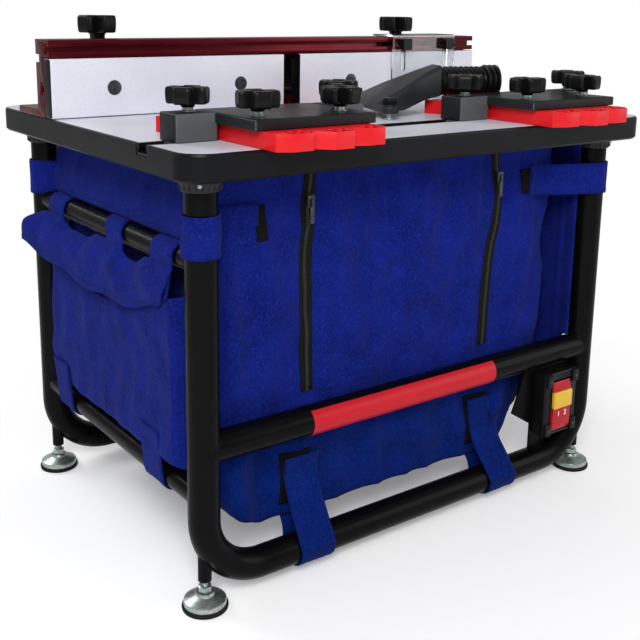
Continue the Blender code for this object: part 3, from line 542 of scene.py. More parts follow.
# %% Tubes
LEG_X, LEG_Y, BEND = 0.3516, 0.2403, 0.085
TUBE, SIDE_TUBE = 0.0205, 0.0155
CROSS_TUBE = TUBE - 0.0005
BOTTOM_Z, CROSS_Z, UPPER_Z, LOWER_Z = 0.036, 0.215, 0.450, 0.150
TABLE_TOP, TABLE_BOTTOM = 0.590, 0.5565
LEG_TOP = TABLE_BOTTOM - 0.0006
FRONT_REAR, LEFT_RIGHT = ((-1, "front"), (1, "rear")), ((-1, "left"), (1, "right"))
LEGS = [(sx, sy, f"{depth}_{width}") for sx, width in LEFT_RIGHT for sy, depth in FRONT_REAR]
# The sleeve of a foot: a cup that is open below.
SLEEVE = [(0, 80.3), (5.6, 80.3), (5.6, 38.5), (8.8, 38.5), (8.8, 81), (0, 81)]

for side, word in FRONT_REAR:
    inner, middle, y = LEG_X - BEND, BOTTOM_Z + BEND, side * LEG_Y
    bends = arc((-inner, middle), BEND, 180, 270, 28) + arc((inner, middle), BEND, 270, 360, 28)
    tube = swept([(x, y, z) for x, z in [(-LEG_X, LEG_TOP), *bends, (LEG_X, LEG_TOP)]], TUBE)
    shell = merged([tube, *[turned(SLEEVE, (x, y, 0)) for x in (-LEG_X, LEG_X)]])
    piece(f"{word}_bent_frame", shell, "black_powder_coat", stands_for=(f"{word}_frame_tube",))
    rail = swept([(-LEG_X, y, CROSS_Z), (LEG_X, y, CROSS_Z)], CROSS_TUBE)
    piece(f"{word}_rail", rail, "black_powder_coat", stands_for=(f"{word}_cross_rail",))
for side, word in LEFT_RIGHT:
    for z, level in ((UPPER_Z, "upper"), (LOWER_Z, "lower")):
        rail = swept([(side * LEG_X, -LEG_Y, z), (side * LEG_X, LEG_Y, z)], SIDE_TUBE)
        name = f"{word}_{level}_side_rail"
        piece(f"{name}_tube", rail, "black_powder_coat", stands_for=(name,))
print("tubes drawn")


# %% [markdown]
# ## Rows of small things
# Stitches, zip teeth, weld ripples, threads and knurls all repeat along a line. One Geometry Nodes
# tree does them: it cuts a curve into even points, turns a small template along the curve and towards
# a facing, and makes it real. A second tree puts a template on single points, for screws.

# %% Geometry Nodes trees
ALIGN = "FunctionNodeAlignRotationToVector"
SOCKETS = {"Template": "Object", "Facing": "Vector", "Material": "Material", "Spacing": "Float"}


def node_group(name, *labels):
    tree = bpy.data.node_groups.new(name, "GeometryNodeTree")
    tree.interface.new_socket("Geometry", in_out="INPUT", socket_type="NodeSocketGeometry")
    for label in labels:
        tree.interface.new_socket(label, in_out="INPUT", socket_type=f"NodeSocket{SOCKETS[label]}")
    tree.interface.new_socket("Geometry", in_out="OUTPUT", socket_type="NodeSocketGeometry")
    return tree, add(tree, "NodeGroupInput").outputs, add(tree, "NodeGroupOutput")


def close_tree(tree, given, out, points, rotation):
    """Sets the template on the points, makes the copies real and paints them."""
    shape = add(tree, "GeometryNodeObjectInfo", {"Object": given["Template"]}).outputs["Geometry"]
    placing = {"Points": points, "Instance": shape, "Rotation": rotation}
    copies = add(tree, "GeometryNodeInstanceOnPoints", placing).outputs[0]
    real = add(tree, "GeometryNodeRealizeInstances", {"Geometry": copies}).outputs[0]
    painted = add(tree, "GeometryNodeSetMaterial", {"Geometry": real, "Material": given["Material"]})
    tree.links.new(painted.outputs[0], out.inputs[0])


along, given, out = node_group("along_a_line", *SOCKETS)
cut = {"Curve": given["Geometry"], "Length": given["Spacing"]}
points = add(along, "GeometryNodeCurveToPoints", cut, mode="LENGTH").outputs
lengthwise = add(along, ALIGN, {"Vector": points["Tangent"]}, axis="Z").outputs[0]
facing = {"Rotation": lengthwise, "Vector": given["Facing"]}
outward = add(along, ALIGN, facing, axis="Y", pivot_axis="Z").outputs[0]
close_tree(along, given, out, points["Points"], outward)

spots, given, out = node_group("on_single_points", "Template", "Facing", "Material")
upright = add(spots, ALIGN, {"Vector": given["Facing"]}, axis="Z").outputs[0]
close_tree(spots, given, out, given["Geometry"], upright)


def grown(holder, tree, template, facing, material, spacing=None):
    """Runs a tree on a holder object and returns its mesh; the holder and the template are removed."""
    pattern = bpy.data.objects.new("template", template)
    scene.collection.objects.link(pattern)
    step = holder.modifiers.new("rows", "NODES")
    step.node_group = tree
    values = {"Template": pattern, "Facing": facing, "Material": material, "Spacing": spacing}
    for socket in tree.interface.items_tree:
        if socket.in_out == "INPUT" and socket.name in values:
            step[socket.identifier] = values[socket.name]
    mesh = drawn(holder)
    bpy.data.objects.remove(pattern, do_unlink=True)
    return shaded(mesh, 50)


def row_along(lines, template, spacing, material, facing=(0, -1, 0), closed=False):
    holder = bpy.data.objects.new("line", curve_through(lines, closed))
    return grown(holder, along, template, facing, material, spacing)


def set_at(places, template, facing, material):
    mesh = bpy.data.meshes.new("points")
    mesh.from_pydata([tuple(p) for p in places], [], [])
    return grown(bpy.data.objects.new("points", mesh), spots, template, facing, material)


print("trees", [t.name for t in bpy.data.node_groups])

# %% [markdown]
# ## Welds
# Each rail end is welded to its leg all round. The bead is a ring of overlapping ripples on the line
# where the two tubes meet, so the line is worked out from both cylinders.

# %% Weld beads
UP = Vector((0, 0, 1))
WELD_POINTS, RIPPLE_PITCH = 28, 0.0036
BEAD_IN_RAIL, BEAD_IN_LEG = 0.0006, 0.0004


def weld_line(radius, leg_radius):
    """Where a rail along local X meets an upright leg at the origin; the rail runs towards +X."""
    line = []
    for i in range(WELD_POINTS):
        turn = 2 * math.pi * i / WELD_POINTS
        across, height = radius * math.cos(turn), radius * math.sin(turn)
        line.append(Vector((math.sqrt(max(leg_radius**2 - across**2, 1e-9)), across, height)))
    return line


lines = []
for sx, sy, _ in LEGS:
    for radius, z, direction in (
        (CROSS_TUBE, CROSS_Z, Vector((-sx, 0, 0))),
        (SIDE_TUBE, UPPER_Z, Vector((0, -sy, 0))),
        (SIDE_TUBE, LOWER_Z, Vector((0, -sy, 0))),
    ):
        leg, side = Vector((sx * LEG_X, sy * LEG_Y, 0)), UP.cross(direction)
        bead = weld_line(radius - BEAD_IN_RAIL, TUBE - BEAD_IN_LEG)
        lines.append([leg + direction * p.x + side * p.y + UP * (z + p.z) for p in bead])
welds = row_along(lines, pill(6.0, 1.9), RIPPLE_PITCH, powder_coat, UP, closed=True)
piece("weld_beads", welds, "black_powder_coat")
print(len(lines), "welds")

# %% [markdown]
# ## Levelling feet
# A foot is a pressed zinc disc on a rubber pad, with a locknut and a threaded stud that screws into
# the sleeve. The thread is a stack of thin rings, close enough together to read as a thread.

# %% Feet
DISC = [(0, 22.5), (11.5, 22.5), (12.1, 21.5), (12.5, 18.6), (15, 17.4), (25, 13.7)]
DISC += [(26.8, 12.8), (27.5, 11.2), (27.5, 6.2), (0, 6.2)]
NUT = [(0, 31.5), (7.5, 31.5), (9.2, 30.5), (9.2, 23.8), (7.5, 22.8), (0, 22.8)]
STUD = [(0, 80), (4.0, 80), (4.4, 79), (4.4, 22.5), (0, 22.5)]
CREST = [(4.3, -0.7), (5.0, 0), (4.3, 0.7), (4.3, -0.7)]
PAD = [(0, 6.1), (28.5, 6.1), (29.6, 5.2), (29.8, 3.0), (29.2, 0.6), (28.0, 0), (0, 0)]
SCREW_LOW, SCREW_HIGH, SCREW_PITCH = 0.032, 0.078, 0.0015
for sx, sy, word in LEGS:
    at, body = Vector((sx * LEG_X, sy * LEG_Y, 0)), f"{word}_foot"
    metal = merged([turned(DISC, at), turned(NUT, at, 6), turned(STUD, at, 24)])
    piece(f"{body}_metal", shaded(metal), "zinc_plate", body, (body,))
    line = [at + UP * SCREW_LOW, at + UP * SCREW_HIGH]
    thread = row_along([line], turned(CREST, steps=20), SCREW_PITCH, zinc_plate, (0, 1, 0))
    piece(f"{body}_thread", thread, "zinc_plate", body)
    piece(f"{body}_pad", turned(PAD, at), rubber, body)
print("feet done")

# %% [markdown]
# ## Leg collars
# A conical nylon collar clamps each leg under the table. It has shallow ribs and a pinch screw that
# faces outwards.

# %% Collars
COLLAR_TOP, RIB_RING, RIB_DROP, COLLAR_PITCH = TABLE_BOTTOM - 0.0003, 0.0248, 0.0095, 0.0085
PINCH_OUT, PINCH_DROP = 0.0252, 0.0085
CONE = [(20.7, 0), (26, 0), (26.5, -0.6), (26.5, -3.8), (26, -4.6), (23.8, -15.5), (23, -17)]
CONE += [(20.7, -17), (20.7, 0)]
PINCH_HEAD = [(0, 1.8), (1.5, 1.7), (2.6, 0.8), (2.8, 0), (0, 0)]
for sx, sy, word in LEGS:
    at, node = Vector((sx * LEG_X, sy * LEG_Y, COLLAR_TOP)), f"{word}_leg_flange"
    turns = [t / 6 for t in range(37)]
    ring = [at + Vector((RIB_RING * math.cos(t), RIB_RING * math.sin(t), -RIB_DROP)) for t in turns]
    ribs = row_along([ring], slab(1.6, 11, 2.4, 0.4), COLLAR_PITCH, grey_nylon, UP, closed=True)
    collar = shaded(merged([turned(CONE, at), ribs]))
    piece(f"{node}_collar", collar, "grey_moulding", stands_for=(node,))
    out_way = Vector((sx * 0.6, sy, 0)).normalized()
    head = turned(PINCH_HEAD, steps=20)
    screw = set_at([at + out_way * PINCH_OUT - UP * PINCH_DROP], head, out_way, zinc_plate)
    piece(f"{node}_screw", screw, zinc_plate)
print("collars done")


# %% [markdown]
# ## Softened solids
# Moulded and sawn pieces have small radii on their edges, which catch the light. The solids are
# bevelled copies of themselves here: merged, so that edges are known, then bevelled where two faces
# meet at an angle. The guard's hood also narrows towards its neck. The front faces of the
# featherboards' end blocks take a paler copy of their moulding: painted light.

# %% Bevelled copies
BEVEL_ANGLE, FLAT_ANGLE = math.radians(32), math.radians(1.5)
BEVEL = {"segments": 2, "limit_method": "ANGLE", "use_clamp_overlap": True, "miter_outer": "MITER_ARC"}
# Widths of the bevels in mm.
WIDTHS = {"left_comb": 1.0, "right_comb": 1.0, "left_featherboard": 0.6, "right_featherboard": 0.6}
WIDTHS |= {"fence_extrusion": 0.5, "bit_guard": 1.0, "switch_bracket": 0.6, "switch_paddle": 0.8}
WIDTHS |= {"safety_key": 0.6, "dust_port": 1.0, "fence_face_left": 0.4, "fence_face_right": 0.4}


def softened(node, width):
    shape = bmesh.new()
    shape.from_mesh(frame["nodes"][node].data)
    bmesh.ops.remove_doubles(shape, verts=shape.verts, dist=5e-6)
    bmesh.ops.dissolve_degenerate(shape, edges=shape.edges[:], dist=4e-5)
    bmesh.ops.dissolve_limit(shape, angle_limit=FLAT_ANGLE, verts=shape.verts[:], edges=shape.edges[:])
    mesh = bpy.data.meshes.new(node)
    shape.to_mesh(mesh)
    shape.free()
    mesh = shaded(baked(mesh, "BEVEL", width=width / 1000, angle_limit=BEVEL_ANGLE, **BEVEL), 40)
    piece(f"{node}_softened", mesh, slot_of[node], body_of[node], (node,), on_table=False)
    return mesh


FEATHERS = {"left": -0.227, "right": 0.228}
PLATE_HALF = 0.0862
soft = {node: softened(node, width) for node, width in WIDTHS.items()}
for word, x in FEATHERS.items():
    # The end blocks' front faces take the paler copy of the moulding: painted light.
    second_material(
        soft[f"{word}_featherboard"],
        painted_light_nylon,
        lambda face: abs(face.center.x - x) > PLATE_HALF and face.normal.y < -0.5,
    )
    second_material(soft[f"fence_face_{word}"], black_pvc, lambda face: abs(face.normal.x) > 0.7)


def ease(t):
    t = max(0.0, min(1.0, t))
    return t * t * (3 - 2 * t)


HOOD_X, HOOD_Y, HOOD_TURN = 0.057, -0.068, math.radians(-22)
NECK_FROM, NECK_LONG, NECK_SLIMMER = 0.020, 0.065, 0.20
hood, hood_at = soft["bit_guard"], Vector((HOOD_X, HOOD_Y + TABLE_Y, 0))
hood.materials[0] = guard_nylon
for vertex in hood.vertices:
    spot = (vertex.co - hood_at) @ Matrix.Rotation(HOOD_TURN, 3, "Z")
    spot.y *= 1 - NECK_SLIMMER * ease((spot.x - NECK_FROM) / NECK_LONG)
    vertex.co = hood_at + spot @ Matrix.Rotation(-HOOD_TURN, 3, "Z")
print("softened solids done")

# %% [markdown]
# ## Winged knobs
# Four broad wings with flat ends on a short neck, each knob with a washer under it. Rings of one
# outline, at slightly different sizes, round the rim over at the top and the bottom. The last rings
# sink a dish into the top.

# %% Knobs
KNOB_RINGS = ((0.90, 0.0), (0.95, 0.04), (0.98, 0.15), (1.0, 0.45), (1.0, 0.80), (0.975, 0.93), (0.92, 1.0))
WING, HOLLOW, DISH, KNOB_POINTS = math.radians(19), 0.50, 0.36, 96
WASHER = [(3.3, 0.4), (8.6, 0.4), (9, 0.8), (9, 1.8), (8.6, 2.2), (3.3, 2.2), (3.3, 0.4)]
KNOB_COLLAR = [(3.3, 2.3), (6.6, 2.3), (6.6, 5.4), (6, 6), (3.3, 6), (3.3, 2.3)]


def wing_reach(turn, half=math.pi / 4):
    """How far the knob's rim reaches at an angle, as a share of its radius."""
    off = abs((turn + half) % (2 * half) - half)
    share = max(0.0, (off - WING) / (half - WING))
    wing = 1 / math.cos(min(off, WING))
    return wing + (HOLLOW - wing) * (1 - math.cos(math.pi * share)) / 2


def winged_knob(radius, height, low):
    shape = bmesh.new()
    rows = []
    for scale, lift in ((0.0, 0.0), *KNOB_RINGS, (0.0, 1.0), (0.0, 0.93)):
        ring = []
        for i in range(KNOB_POINTS):
            turn = 2 * math.pi * i / KNOB_POINTS
            reach = radius * (scale * wing_reach(turn) if scale else DISH)
            place = Vector((reach * math.cos(turn), reach * math.sin(turn), low + lift * height))
            ring.append(shape.verts.new(place / 1000))
        rows.append(ring)
    joined(shape, rows, KNOB_POINTS)
    for ring in (rows[0], rows[-1]):
        shape.faces.new(ring)
    return from_bmesh(shape)


def knob(node, at, turn, radius, height, neck, girth, foot, tip):
    """A knob over its seat; the neck, foot and tip are heights in mm from the seat."""
    low = 1.8 + neck
    waist = max(foot, low - 4) + 0.4
    stem = [(0, foot), (girth, foot), (girth * 1.05, waist), (girth * 1.5, low + 4), (0, low + 4)]
    grip = merged([winged_knob(radius, height, low), turned(stem, steps=32)])
    grip.transform(Matrix.Translation(at) @ Matrix.Rotation(turn, 4, "Z"))
    piece(f"{node}_grip", shaded(grip, 40), "black_moulding", node, (node,))
    stud = [(0, 3), (3.2, 3), (3.2, 0.5 - tip), (0, -tip)]
    metal = merged([turned(WASHER, at, 32), turned(KNOB_COLLAR, at, 32), turned(stud, at, 16)])
    piece(f"{node}_washer", shaded(metal), "zinc_plate", node)


PLATE_TOP, BLOCK_RISE = TABLE_TOP + 0.0335, 0.0008
KNOB_PLACES = ((-0.112, -0.190), (-0.060, -0.262), (0.060, -0.262), (0.112, -0.190))
for word, x in FEATHERS.items():
    for number, (dx, y) in enumerate(KNOB_PLACES, 1):
        at = (x + dx, y, PLATE_TOP + (BLOCK_RISE if number in (1, 4) else 0))
        turn = math.radians(12 + 31 * number)
        knob(f"{word}_knob_{number}", at, turn, 25, 20, neck=8, girth=7.5, foot=5.8, tip=29)
BASE_TOP, CLAMP_TOP, CLAMP_X, CLAMP_Y = TABLE_TOP + 0.0103, 0.730, 0.290, 0.171
for side, word in LEFT_RIGHT:
    at, neck = (side * CLAMP_X, CLAMP_Y, BASE_TOP), 1000 * (CLAMP_TOP - BASE_TOP) - 25 - 1.8
    knob(f"fence_knob_{word}", at, math.radians(20), 29, 25, neck, girth=10.5, foot=1.2, tip=7.5)
print("knobs done")

# %% [markdown]
# Each featherboard's plate is covered by a sheet of satin film, bare here.

# %% Plate films
for word, x in FEATHERS.items():
    film = slab(164, 128, 0.3, 0.1, (x, -0.230, PLATE_TOP + 0.00016))
    piece(f"{word}_plate_film", film, plate_film, f"{word}_featherboard")
print("films done")

# %% [markdown]
# The combs are moulded with shallow pockets on the tops of their three lobes. The thin walls round
# the pockets catch the light. One pocket is drawn, and Geometry Nodes set it on each place.

# %% Comb pockets
POCKET_WIDE, POCKET_LONG, POCKET_WALL, POCKET_RISE = 12.4, 16.0, 1.5, 1.3
LOBES = ((-0.078, -0.325), (-0.026, -0.333), (0.026, -0.325))
walls = []
for side in (-1, 1):
    beside = (side * (POCKET_WIDE - POCKET_WALL) / 2000, 0, POCKET_RISE / 2000)
    across = (0, side * (POCKET_LONG - POCKET_WALL) / 2000, POCKET_RISE / 2000)
    walls.append(slab(POCKET_WALL, POCKET_LONG, POCKET_RISE, 0.2, beside))
    walls.append(slab(POCKET_WIDE, POCKET_WALL, POCKET_RISE, 0.2, across))
pocket_walls = merged(walls)
for word, x in FEATHERS.items():
    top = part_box(f"{word}_comb")[1].z
    places = [(x + start + off, front, top) for start, front in LOBES for off in (0.0245, 0.0379)]
    pockets = set_at(places, pocket_walls.copy(), UP, red_abs)
    piece(f"{word}_comb_pockets", pockets, "red_moulding", f"{word}_comb")
print("comb pockets done")

# %% [markdown]
# ## The guard's ribbed spigot
# The spigot is turned again with round ribs: a wave for the ribs, and three wider rings at its end.

# %% Spigot
SPIGOT_Z, RIB_COUNT, RIB_STEPS, END_RINGS = 0.6385, 8, 10, 3
# Along the spigot, in mm.
BORE, NECK_AT, RIB_START, RIB_PITCH, RING_PITCH = 15, 90.3, 96.3, 8.5, 8
RING = ((18.4, 1.0), (18.0, 2.4), (23.0, 3.4), (24.5, 4.4), (24.5, 6.6), (23.8, RING_PITCH))
profile = [(BORE, NECK_AT), (22.5, NECK_AT), (22.5, RIB_START - 0.4)]
for i in range(1, RIB_COUNT * RIB_STEPS + 1):
    swell = abs(math.cos(math.pi * i / RIB_STEPS)) ** 0.7
    profile.append((19.0 + 3.5 * swell, RIB_START + RIB_PITCH * i / RIB_STEPS))
end = RIB_START + RIB_PITCH * RIB_COUNT
for _ in range(END_RINGS):
    profile += [(radius, end + off) for radius, off in RING]
    end += RING_PITCH
profile += [(BORE, end), (BORE, NECK_AT)]
way = (math.cos(HOOD_TURN), math.sin(HOOD_TURN), 0)
spigot = shaded(turned(profile, (HOOD_X, HOOD_Y, SPIGOT_Z), 48, way), 50)
piece("ribbed_spigot", spigot, "black_moulding", body_of["guard_spigot"], ("guard_spigot",))
print("spigot done")

# %% [markdown]
# ## The bag's shell
# The bag hangs inside the frame from the underside of the table and narrows to a floor like a hopper.
# It is lofted from plan sections with soft corners, then creased: slow noise for the slack of the
# cloth, and listed folds where straps pull and where it sags over its lower corners. It stays
# clear of the tubes.

# %% Bag sections
BAG_TOP, BAG_FLOOR, BAG_Y = 0.5545, 0.0745, 0.2165
ROWS, COLUMNS, FLOOR_RINGS = 86, 320, 9
CLOTH = 0.0014
# Where the bag's left and right sides stand, by height.
LEFT_EDGE = [(0.0745, -0.258), (0.086, -0.285), (0.106, -0.310), (0.132, -0.326), (0.170, -0.3305)]
LEFT_EDGE += [(0.56, -0.3305)]
RIGHT_EDGE = [(0.0745, 0.220), (0.088, 0.231), (0.120, 0.258), (0.173, 0.286), (0.215, 0.298)]
RIGHT_EDGE += [(0.250, 0.302), (0.430, 0.308), (0.56, 0.314)]


def between(table, value):
    """Straight steps between (key, result) pairs, in rising order of key."""
    for (a, fa), (b, fb) in zip(table, table[1:]):
        if value <= b:
            return fa + (fb - fa) * max(0.0, min(1.0, (value - a) / (b - a)))
    return table[-1][1]


def plan_section(x_left, x_right, y_half, count):
    """Points and outward ways round a rectangle with soft corners, evenly, from the front's middle."""
    middle = ((x_left + x_right) / 2, -y_half)
    line = [middle]
    line += arc((x_right - 0.050, -y_half + 0.050), 0.050, -90, 0, 10)
    line += arc((x_right - 0.040, y_half - 0.040), 0.040, 0, 90, 10)
    line += arc((x_left + 0.010, y_half - 0.010), 0.010, 90, 180, 10)
    line += arc((x_left + 0.014, -y_half + 0.014), 0.014, 180, 270, 10)
    line.append(middle)
    lengths = [math.dist(a, b) for a, b in zip(line, line[1:])]
    total, found, walked, leg = sum(lengths), [], 0.0, 0
    for i in range(count):
        target = total * i / count
        while walked + lengths[leg] < target:
            walked += lengths[leg]
            leg += 1
        t = (target - walked) / max(lengths[leg], 1e-9)
        a, b = line[leg], line[leg + 1]
        way = Vector((b[1] - a[1], a[0] - b[0], 0)).normalized()
        found.append((Vector((a[0] + (b[0] - a[0]) * t, a[1] + (b[1] - a[1]) * t, 0)), way))
    return found, total


print("bag", round(BAG_TOP - BAG_FLOOR, 3), "m high")

# %% [markdown]
# The slack of the cloth is a sum of noise and folds. It is cut off where the cloth would touch a tube
# or a zip slider.

# %% Slack and folds
# Folds on the front in mm: from (x, z) to (x, z), half width, height.
FRONT_FOLDS = [
    [v / 1000 for v in fold]
    for fold in (
        (-262, 470, -225, 330, 16, 6),
        (-300, 440, -292, 270, 12, 5),
        (-180, 530, -184, 250, 10, -4),
        (-150, 530, -100, 300, 20, 4),
        (0, 545, 30, 340, 26, 4.5),
        (110, 545, 150, 400, 16, 5),
        (178, 530, 196, 450, 12, -5),
        (210, 470, 155, 300, 16, 6),
        (120, 250, 170, 300, 12, 5),
        (245, 500, 225, 280, 14, 4),
        (-90, 330, 60, 280, 22, 3.5),
        (-296, 180, -282, 90, 12, 12),
        (-255, 185, -240, 80, 16, -6),
        (190, 180, 170, 90, 14, 5),
        (-120, 190, 60, 120, 24, 4.5),
    )
]
FOLD_DEPTH = 1.8
# The zip sliders run here: middle and half width.
SLIDER_TRACKS = ((-0.178, 0.016), (0.163, 0.026))


def fold_height(x, z):
    total = 0.0
    for x0, z0, x1, z1, half, height in FRONT_FOLDS:
        dx, dz = x1 - x0, z1 - z0
        t = max(0.0, min(1.0, ((x - x0) * dx + (z - z0) * dz) / (dx * dx + dz * dz)))
        off = math.hypot(x - x0 - t * dx, z - z0 - t * dz)
        fullness = 0.35 + 0.65 * math.sin(math.pi * (0.15 + 0.7 * t))
        total += height * math.exp(-((off / half) ** 2)) * fullness
    return total


def room(p):
    """How far the cloth may stand out at a point, before it would touch a tube or a slider."""
    if abs(p.x) > 0.300 and abs(p.y) > 0.190:  # beside a leg
        return 0.0005
    near = [0.002 if p.x > 0.265 else 0.012]  # little on the right, inside the side cloth
    if p.y < -0.200 and p.z > 0.235:  # in front, above the cross rail, where the sliders run
        near += [-0.0034 + max(0.0, abs(p.x - x) - half) * 0.45 for x, half in SLIDER_TRACKS]
    if abs(p.y) > 0.200:  # in front and behind, where a cross rail is near
        near.append(0.0012 + max(0.0, abs(p.z - CROSS_Z) - 0.030) * 0.5)
    if abs(p.x) > 0.300:  # at the sides, where the side rails are near
        near += [0.0010 + max(0.0, abs(p.z - z) - 0.024) * 0.5 for z in (UPPER_Z, LOWER_Z)]
    return min(near)


def slack(p, way):
    """Outward move of the cloth at a point of the shell."""
    crumple = 0.0045 * noise.noise(p * 11) + 0.0030 * noise.noise(p * 23 + Vector((5, 2, 9)))
    ridge = 1 - abs(noise.noise(Vector((p.x, p.y, p.z * 0.6)) * 17 + Vector((3, 1, 7))))
    crumple += 0.0075 * (ridge**3 - 0.45)
    front = max(0.0, -way.y) ** 2
    crumple += front * FOLD_DEPTH * fold_height(p.x, p.z)
    crumple += (1 - front) * 0.004 * noise.noise(Vector((p.x * 16, p.y * 16, p.z * 4)))
    loose = min(1.0, (BAG_TOP - p.z) / 0.035)
    return min(crumple * loose - 0.0012, room(p))


print(len(FRONT_FOLDS), "folds")


# %% [markdown]
# A cloth is a grid of points. It takes a UV map in metres, which the weave follows, and then a
# thickness.

# %% Bag shell
def shares(count):
    return [i / (count - 1) for i in range(count)]


def grid(rows, columns, place):
    """Points of a cloth; place is given a row's value and the share along the row."""
    return [[place(row, share) for share in shares(columns)] for row in rows]


def thin_cloth(rows, looped=False):
    """A grid of points as a surface with a UV map in metres. A loop is closed by its last row."""
    width = len(rows[0])
    faces, marks = [], []
    down_cloth, walk = [0.0], [0.0]
    for a, b in zip(rows, rows[1:]):
        down_cloth.append(down_cloth[-1] + sum((q - p).length for p, q in zip(a, b)) / width)
    for p, q in zip(rows[0], [*rows[0][1:], rows[0][0]]):
        walk.append(walk[-1] + (q - p).length)
    for r in range(len(rows) - 1):
        for c in range(width if looped else width - 1):
            n = (c + 1) % width
            faces.append((r * width + c, r * width + n, (r + 1) * width + n, (r + 1) * width + c))
            marks += [(walk[c], down_cloth[r]), (walk[c + 1], down_cloth[r])]
            marks += [(walk[c + 1], down_cloth[r + 1]), (walk[c], down_cloth[r + 1])]
    if looped:
        faces.append(range((len(rows) - 1) * width, len(rows) * width))
        marks += [(p.x, p.y) for p in rows[-1]]
    mesh = bpy.data.meshes.new("cloth")
    mesh.from_pydata([p for row in rows for p in row], [], faces)
    laid = mesh.uv_layers.new(name="cloth")
    for loop, mark in zip(laid.data, marks):
        loop.uv = mark
    mesh.shade_smooth()
    return mesh


def thickened(mesh, thick=CLOTH):
    mesh = baked(mesh, "SOLIDIFY", thickness=thick, offset=0.0, use_even_offset=True)
    mesh.shade_smooth()
    return mesh


rings, spans = [], []
for z in [BAG_TOP + (BAG_FLOOR - BAG_TOP) * row / ROWS for row in range(ROWS + 1)]:
    section, around = plan_section(between(LEFT_EDGE, z), between(RIGHT_EDGE, z), BAG_Y, COLUMNS)
    places = [(Vector((p.x, p.y, z)), way) for p, way in section]
    rings.append([p + way * slack(p, way) for p, way in places])
    spans.append(around)
edge = rings[-1]
middle = sum(edge, Vector()) / COLUMNS
for step in range(1, FLOOR_RINGS + 1):
    share = step / FLOOR_RINGS
    size, sunk = 1 - share * 0.97, -0.004 * math.sin(math.pi * min(1.0, share * 0.9))
    floor_at = [middle + (p - middle) * size for p in edge]
    rings.append([Vector((q.x, q.y, p.z + sunk)) for p, q in zip(edge, floor_at)])

bag_mesh = thin_cloth(rings, looped=True)
bag_points, bag_faces = [v.co for v in bag_mesh.vertices], [p.vertices for p in bag_mesh.polygons]
front_of_bag = BVHTree.FromPolygons(bag_points, bag_faces)
bag_area = sum(p.area for p in bag_mesh.polygons)
bag_mesh = thickened(bag_mesh)
bag_nodes = ("bag_front_panel", "bag_rear_panel", "bag_left_panel", "bag_floor")
bag = piece("bag_shell", bag_mesh, "blue_fabric", stands_for=bag_nodes)
# Faces below the cross rail take the darker copy of the cloth: painted shade.
second_material(bag_mesh, painted_shade_nylon, lambda face: face.center.z < CROSS_Z)
print("bag cloth", round(bag_area, 3), "square metres")


# %% [markdown]
# ## Straps and loops
# The bag is tied to the frame by flat straps of its own cloth. A strap is a strip along a smooth
# line, with a slight ripple. Its two edges are sewn, so the same function gives the lines for the
# stitches.

# %% Strap helper
STITCH_LINES = []
STRAP, RIPPLE, STRAP_COLUMNS, SEAM_INSET = 0.0017, 0.0007, 9, 0.0042


def smooth_path(points, step=0.004):
    """A Catmull-Rom line through the points, cut into short steps."""
    pts = [Vector(p) for p in points]
    pts = [2 * pts[0] - pts[1], *pts, 2 * pts[-1] - pts[-2]]
    dense = []
    for a, b, c, d in zip(pts, pts[1:], pts[2:], pts[3:]):
        count = max(2, int((c - b).length / step))
        for i in range(count):
            t = i / count
            bend = (2 * a - 5 * b + 4 * c - d) * t * t + (3 * b - a - 3 * c + d) * t**3
            dense.append(0.5 * (2 * b + (c - a) * t + bend))
    dense.append(pts[-2])
    return dense


def runs_of(line):
    """The direction of a line at each of its points."""
    return [(b - a).normalized() for a, b in zip([line[0], *line[:-1]], [*line[1:], line[-1]])]


def strap(name, path, across, width, around, lean=0.0):
    """A flat strap; around is a point on its inner side, such as the middle of the tube it goes round."""
    line, across = smooth_path(path), Vector(across)
    ways = [run.cross(across).normalized() for run in runs_of(line)]
    if sum((p - around).dot(w) for p, w in zip(line, ways)) < 0:
        ways = [-w for w in ways]
    rows, edges = [], ([], [])
    for i, (p, way) in enumerate(zip(line, ways)):
        p = p + across * lean * (i / (len(line) - 1))
        row = [p + across * width * (share - 0.5) for share in shares(STRAP_COLUMNS)]
        rows.append([q + way * RIPPLE * (noise.noise(q * 38 + Vector((1, 4, 2))) + 0.5) for q in row])
        for edge, side in zip(edges, (-1, 1)):
            seam = p + across * side * (width / 2 - SEAM_INSET)
            edge.append(seam + way * (STRAP / 2 + RIPPLE * 0.9 + 0.0002))
    made = piece(name, thickened(thin_cloth(rows), STRAP), "blue_fabric")
    STITCH_LINES.extend(edges)
    return made


def on_front(x, z, off=0.0024):
    """A point just in front of the bag's face."""
    hit = front_of_bag.ray_cast(Vector((x, -0.4, z)), Vector((0, 1, 0)))[0]
    return Vector((x, hit.y - off, z))


def hook_patch(name, x0, x1, z0, z1, off):
    """A rectangle of black hook tape sewn on the front of the bag."""
    rows = grid(shares(9), 9, lambda t, s: on_front(x0 + (x1 - x0) * s, z0 + (z1 - z0) * t, off))
    made = piece(name, thickened(thin_cloth(rows), 0.0016), hook_tape)


# %% [markdown]
# The leg straps lie on the bag's face, turn round a leg and come back to the corner of the bag. On
# the near leg the strap dips behind the tube's edge first; on the right leg it runs taut to the
# tube's front.

